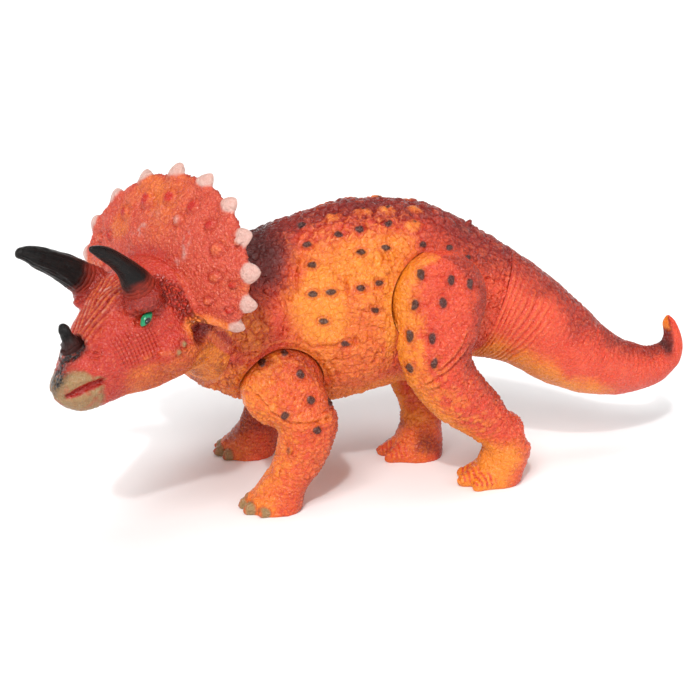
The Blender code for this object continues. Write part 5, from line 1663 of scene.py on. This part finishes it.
def headRelief(head):
    points = pointsOf(head)
    off = points - np.array(headSizes["brow"])
    forward, left, up = -off @ headAxes[0], -off @ headAxes[1], off @ headAxes[2]
    out = np.abs(left)
    places = np.stack((forward, out, up), 1)
    relief = reliefOf(head, places)
    wobble, small = softNoise(points, 6.0, 71), softNoise(points, 2.2, 72)
    # Which points are the frill's, and whether they face forwards.
    lean = math.tan(math.radians(frillSizes["lean"]))
    upFrill = up + frillSizes["drop"]
    reach = np.hypot(left / frillSizes["halfWidth"], upFrill / frillSizes["halfHeight"])
    behind = frillSizes["back"] + lean * upFrill + frillSizes["curl"] * (upFrill / frillSizes["halfHeight"]) ** 2
    behind += frillSizes["dish"] * (reach**2 - frillSizes["level"])
    depth = -forward - behind
    frill = smoothStep(4.6, 2.6, np.abs(depth)) * smoothStep(0.3, 0.42, reach)
    front = frill * smoothStep(0.6, -0.6, depth)
    face = 1 - frill
    studs = np.zeros(len(points))
    for row in studRows():
        far = np.linalg.norm(points - (row["at"] + row["way"] * 1.3), axis=1)
        studs = np.maximum(studs, smoothStep(4.4, 3.2, far + 0.3 * small))
    relief.lift += 0.3 * softNoise(points, 5.0, 73) + 0.12 * small
    # Frill: faint spokes, bumps with rings, pale streaks.
    angle = np.degrees(np.arctan2(left, upFrill))
    spoke = np.cos(np.radians(angle / frillSizes["studSpread"] * (frillSizes["studs"] - 1) * 360.0))
    relief.lift += 0.35 * spoke * frill * smoothStep(0.55, 0.9, reach)
    relief.scales(points, 1.3, 0.26, frill * (1 - studs), 74, 0.35)
    rough = face * smoothStep(4.0, -4.0, forward + (up + 24.0) * 0.8) + face * smoothStep(-22.0, -26.0, up)
    relief.scales(places + 0.3 * small[:, None], 1.5, 0.2, rough, 77, 0.35)
    flat = np.stack((left, up), 1)
    for bumpOut, bumpUp, radius, mask in frillBumps:
        radius *= frillSizes["bumpShare"]
        far = np.linalg.norm((flat - (bumpOut, bumpUp)) * (0.8, 1.15), axis=1) + 0.25 * small
        dome = np.clip(1 - (far / radius) ** 2, 0, 1) ** 0.6
        relief.lift += front * (0.9 * dome - 0.5 * bell(far - 1.35 * radius, 0.5))
        relief.paint("groove", front * bell(far - 1.25 * radius, 0.4) * 0.7)
        relief.paint(mask, front * smoothStep(radius, 0.5 * radius, far) * (0.9 if mask == "glossRed" else 0.35))
    for start, end in frillPaleStreaks:
        far = farFrom(np.concatenate((flat, 0 * flat[:, :1]), 1), [(*start, 0.0), (*end, 0.0)])
        relief.ridge(far, 1.0, 0.35, front, 0.0)
        worn = smoothStep(-0.3, 0.4, softNoise(points, 1.6, 78))
        relief.paint("creamPaintAndGlint", front * bell(far + 0.9 * small, 1.3) * worn * 0.5)
    # Face.
    def offPlace(key):
        return places - np.array(facePlaces[key])

    offEye = offPlace("eye")
    slant = math.radians(eyeSizes["slant"])
    eyeLong = -offEye[:, 0] * math.cos(slant) + offEye[:, 2] * math.sin(slant)
    eyeHigh = offEye[:, 0] * math.sin(slant) + offEye[:, 2] * math.cos(slant)
    almond = np.hypot(eyeLong / eyeSizes["long"], eyeHigh / eyeSizes["socketHigh"])
    nearEye = smoothStep(5.0, 3.0, np.abs(offEye[:, 1])) * face
    relief.lift -= 0.9 * smoothStep(1.05, 0.75, almond) * nearEye
    relief.lift += 0.5 * bell(almond - 1.25, 0.2) * nearEye
    relief.lift -= 1.1 * smoothStep(1.45, 1.0, almond) * smoothStep(0.2, 1.0, eyeHigh) * face
    rings = smoothStep(4.2, 1.5, almond) * smoothStep(1.3, 1.6, almond) * nearEye
    relief.folds(almond / 0.62 + 0.12 * wobble, 0.6, rings, 0.6)
    relief.ridge(farFrom(places, facePlaces["brow"]), 1.6, 0.7, face, 0.0)
    nostril = np.linalg.norm(offPlace("nostril") * (1.0, 0.6, 1.2), axis=1)
    relief.crease(np.abs(nostril - facePlaces["nostrilRadius"] + 0.5 * wobble), 0.55, 0.5, face, 0.6)
    relief.lift -= 1.0 * bell(nostril, 0.8) * face
    relief.paint("maroon", bell(nostril, 0.7) * face * 0.4)
    noseRing = np.linalg.norm(offPlace("noseRing") * (1.0, 1.0, 1.6), axis=1)
    relief.crease(np.abs(noseRing - facePlaces["noseRingRadius"] + 0.3 * wobble), 0.5, 0.5, face)
    relief.paint("smear", smoothStep(8.0, 5.4, noseRing + 0.8 * wobble) * face * 0.95)
    snout = bell(left + 0.6 * wobble - 0.6, 2.8) * smoothStep(*headZones["snoutBack"], forward)
    snout = snout * smoothStep(*headZones["snoutUp"], up)
    relief.paint("smear", snout * face)
    relief.paint("gloss", np.maximum(snout, smoothStep(8.0, 5.0, noseRing)) * face)
    for key, sizes in hornSizes.items():
        if sizes["left"]:
            far = np.linalg.norm(points - hornBase(key), axis=1)
            relief.folds((far + 0.4 * wobble) / 1.6, 0.35, smoothStep(12.0, 7.5, far) * face, 0.6)
            relief.paint("maroon", smoothStep(12.0, 7.0, far + wobble) * 0.55 * face)
    # Forehead: stretched strands under lacquer.
    forehead = smoothStep(*headZones["foreheadOut"], out) * smoothStep(*headZones["foreheadUp"], up + forward * 0.35)
    forehead = forehead * smoothStep(*headZones["foreheadBack"], forward) * face
    strands = (left + forward * 0.25 * np.sign(left) + 0.8 * wobble) / 1.5 * 0.7
    relief.folds(strands, 1.2, forehead * smoothStep(*headZones["strandsEnd"], forward), 0.9)
    crest = bell(strands - np.floor(strands) - 0.5, 0.17) * forehead
    # The strands' crests are painted lighter, with cream flecks on them: painted highlights.
    relief.paint("ridge", crest * 0.75)
    relief.paint("creamPaintAndGlint", crest * smoothStep(0.2, 0.7, softNoise(points, 1.4, 79)) * 0.5)
    relief.paint("gloss", forehead)
    relief.paint("maroon", forehead * (0.2 + 0.5 * relief.masks["groove"]))
    # Cheeks, jaw and the hollow behind them.
    hatch = smoothStep(*headZones["hatchBack"], forward) * smoothStep(*headZones["hatchFront"], forward)
    hatch = hatch * smoothStep(*headZones["hatchTop"], up) * smoothStep(*headZones["hatchLow"], up)
    hatch = hatch * face * smoothStep(1.6, 2.2, almond)
    relief.paint("hatch", hatch)
    pits = bell(farFrom(places * (1, 0, 1), facePlaces["pitted"]), 5.5)
    pits *= smoothStep(9.0, 12.5, out) * smoothStep(0.6, 0.1, front)
    relief.paint("pits", smoothStep(0.25, 0.8, pits + 0.08 * wobble))
    relief.ridge(farFrom(places, facePlaces["jawArc"]), 1.1, 0.6, face, 0.5)
    relief.ridge(farFrom(places, facePlaces["earRim"]), 1.6, 0.3, shade=0.75)
    hollow = np.linalg.norm(offPlace("hollow") / facePlaces["hollowSize"], axis=1)
    relief.lift -= facePlaces["hollowDepth"] * smoothStep(1.3, 0.4, hollow)
    relief.paint("maroon", smoothStep(1.35, 0.8, hollow) * 0.85)
    for centre in facePlaces["cheekWarts"]:
        relief.wart(centre, *facePlaces["wart"], "tan")
    # Beak: horn-coloured, with a red slit between its lips.
    mouthUp = facePlaces["mouthUp"]
    edge = np.where(up > mouthUp, up + 47.0, 24.2) + 0.7 * wobble + 0.4 * small
    beak = smoothStep(-1.3, 0.8, forward - edge) * smoothStep(*headZones["beakTop"], up + 0.6 * wobble + 0.3 * small)
    relief.paint("tan", beak * (0.95 - 0.35 * smoothStep(0.1, 0.7, wobble + small)))
    relief.crease(np.abs(forward - edge), 0.6, 0.35, smoothStep(20.0, 22.0, forward) * (up < -17.5), 0.6)
    lens = np.sqrt(np.clip(1 - ((forward - facePlaces["mouthMiddle"]) / facePlaces["mouthHalf"]) ** 2, 0.0, 1.0))
    corner = facePlaces["mouthCorner"]
    inMouth = smoothStep(corner - 0.5, corner + 1.5, forward) * smoothStep(0.0, 0.3, lens)
    slit = np.abs(up - mouthUp + 0.35 * np.sin(forward * 0.4)) / (0.5 + 1.05 * lens)
    relief.lift -= 1.5 * bell(slit, 0.75) * inMouth
    relief.lift += 0.35 * bell(slit - 1.9, 0.8) * inMouth
    relief.paint("mouthRed", smoothStep(1.15, 0.7, slit + 0.2 * small) * inMouth)
    relief.paint("tan", relief.masks["tan"] * (1 - relief.masks["mouthRed"]), np.minimum)
    top = np.linalg.norm(offPlace("beakTop") / facePlaces["beakTopSize"], axis=1)
    relief.paint("smear", smoothStep(1.3, 0.5, top + 0.3 * wobble + 0.2 * small) * 0.9)
    # Sprayed colours.
    throat = smoothStep(*headZones["throatBack"], forward)
    throat = throat * smoothStep(*headZones["throatLow"], up + 1.2 * wobble) * face
    relief.paint("yellow", throat * 0.8)
    relief.paint("maroon", throat * smoothStep(0.05, 0.35, softNoise(points, 4.0, 75)) * 0.35)
    relief.paint("yellow", front * 0.35 * smoothStep(0.1, 0.6, softNoise(points, 12.0, 76)))
    relief.paint("yellow", bell(farFrom(places, facePlaces["earRim"]), 1.6) * 0.7)
    relief.paint("maroon", smoothStep(-1.0, 1.0, depth) * frill * 0.35)
    chin = face * smoothStep(*headZones["chinLow"], up + 1.5 * wobble) * smoothStep(*headZones["chinFront"], forward)
    relief.paint("yellow", 0.35 * chin)
    relief.paint("yellow", front * 0.3 * bell(np.hypot(left - 2.0, up - 14.0), 9.0))
    relief.ridge(farFrom(places, facePlaces["neckFold"]), 2.2, 0.2, shade=0.8)
    relief.paint("creamPaintAndGlint", studs * 0.95 * smoothStep(0.84, 0.97, reach))
    relief.paint("frill", np.maximum(front, 0.6 * frill) * smoothStep(0.25, 0.5, reach))
    neckOff = (points - neckMiddle) @ neckRun
    relief.lift *= smoothStep(-0.2, -2.0, neckOff)
    relief.masks["headForward"], relief.masks["headUp"] = forward, up
    return relief


def headSkin():
    head = headForm()
    relief = headRelief(head)
    setPoints(head, relief.moved())
    cuts = [drum(neckMiddle - neckRun * seamGap, neckRun, 45.0, 20.0)]
    for key, sizes in hornSizes.items():
        cuts.append(drum(hornBase(key), hornWay(key), sizes["radius"] + 0.08, 9.0))
    cutOrJoin(head, "DIFFERENCE", cuts)
    carryPaint(head, relief.moved(), relief.masks)
    finishPiece(head, "head", skins["head"], "head")


headSkin()
hornBlack = hornFinish()
for key in hornSizes:
    hornSkin(key)
print("stage: head and horns")

# Eyes: painted domes in the sockets.
def eyeFinish():
    finish = Finish("eye_paint")
    fibres = finish.noise(0.0006, 4.0, 0.7)
    tone = finish.colour(fibres, (8, 96, 66), (34, 158, 104))
    tone = finish.colour(finish.mask("pupil"), tone, (12, 12, 12))
    tone = finish.colour((finish.mask("glint") * (fibres * 2.4 - 0.4)).clamp(), tone, (190, 196, 190))
    return finish.put(Base_Color=tone, Roughness=(0.18 + fibres * 0.15).clamp())


eyePaint = eyeFinish()
for left, name in ((1.0, "eye_left"), (-1.0, "eye_right")):
    slant = math.radians(eyeSizes["slant"])
    run, side, top = headAxes
    long = run * math.cos(slant) + top * math.sin(slant)
    high = -run * math.sin(slant) + top * math.cos(slant)
    forward, out, up = facePlaces["eye"]
    centre = headPlace(forward, left * (out - eyeSizes["sunk"][left]), up)
    eye = ball(centre, (long, -side * left, high), (eyeSizes["long"], eyeSizes["deep"], eyeSizes["high"]), 6)
    eye.name = name
    off = pointsOf(eye) - centre
    across, over = off @ long, off @ high
    pinch = 1 - 0.55 * (across / eyeSizes["long"]) ** 2
    setPoints(eye, pointsOf(eye) + np.outer(over * (pinch - 1), high))
    pupil = np.hypot((across + 0.75) / 1.3, over / 1.0)
    glint = np.minimum(np.hypot(across + 1.1, over - 0.35), np.hypot(across + 0.3, over + 0.1) + 0.1)
    masks = {"pupil": smoothStep(1.1, 0.9, pupil), "glint": smoothStep(0.2, 0.1, glint)}
    carryPaint(eye, pointsOf(eye), masks)
    finishPiece(eye, "head", eyePaint)
print("stage: eyes")

floorSizes = {"light": (250, 250, 250), "grain": (247, 247, 247), "sides": 96}
# distance from the middle and height, in metres: flat, then a low wall far off
floorRows = [(0.02, 0.0), (1.0, 0.0), (4.0, 0.0), (8.0, 0.15), (12.0, 0.8), (16.0, 2.4), (20.0, 5.2)]
spin = np.linspace(0, 2 * math.pi, floorSizes["sides"], endpoint=False)
rows = np.array([np.stack((far * np.cos(spin), far * np.sin(spin), 0 * spin + high), 1) for far, high in floorRows])
faces, number = gridFaces(*rows.shape[:2])
floor = meshObject("floor", rows.reshape(-1, 3), faces + [number[0].tolist()])
paper = Finish("floor_paper")
tone = paper.colour(paper.noise(0.01, 3.0, 0.6), floorSizes["light"], floorSizes["grain"])
floor.data.materials.append(paper.put(Base_Color=tone, Roughness=0.85))

lightSizes = {
    "key": {"from": (-0.5, -0.85, 1.05), "angle": 24.0, "power": 1.7},
    "glint": {"from": (-0.3, -0.9, 1.0), "angle": 3.0, "power": 1.0},
    "above": {"from": (0.1, 0.1, 1.0), "angle": 45.0, "power": 1.1},
    "fill": {"from": (0.9, -0.8, 0.5), "angle": 50.0, "power": 0.75},
}
skyPower = 0.27
for name, sizes in lightSizes.items():
    lamp = bpy.data.lights.new(name, "SUN")
    lamp.angle = math.radians(sizes["angle"])
    lamp.energy = sizes["power"]
    hung = bpy.data.objects.new(name, lamp)
    bpy.context.scene.collection.objects.link(hung)
    hung.matrix_world = Vector(sizes["from"]).to_track_quat("Z", "Y").to_matrix().to_4x4()
world = bpy.data.worlds.new("studio")
bpy.context.scene.world = world
world.use_nodes = True
sky = world.node_tree.nodes["Background"].inputs
sky["Color"].default_value = (1.0, 1.0, 1.0, 1.0)
sky["Strength"].default_value = skyPower
bpy.context.scene.view_settings.view_transform = "Standard"
print("stage: floor and lights")
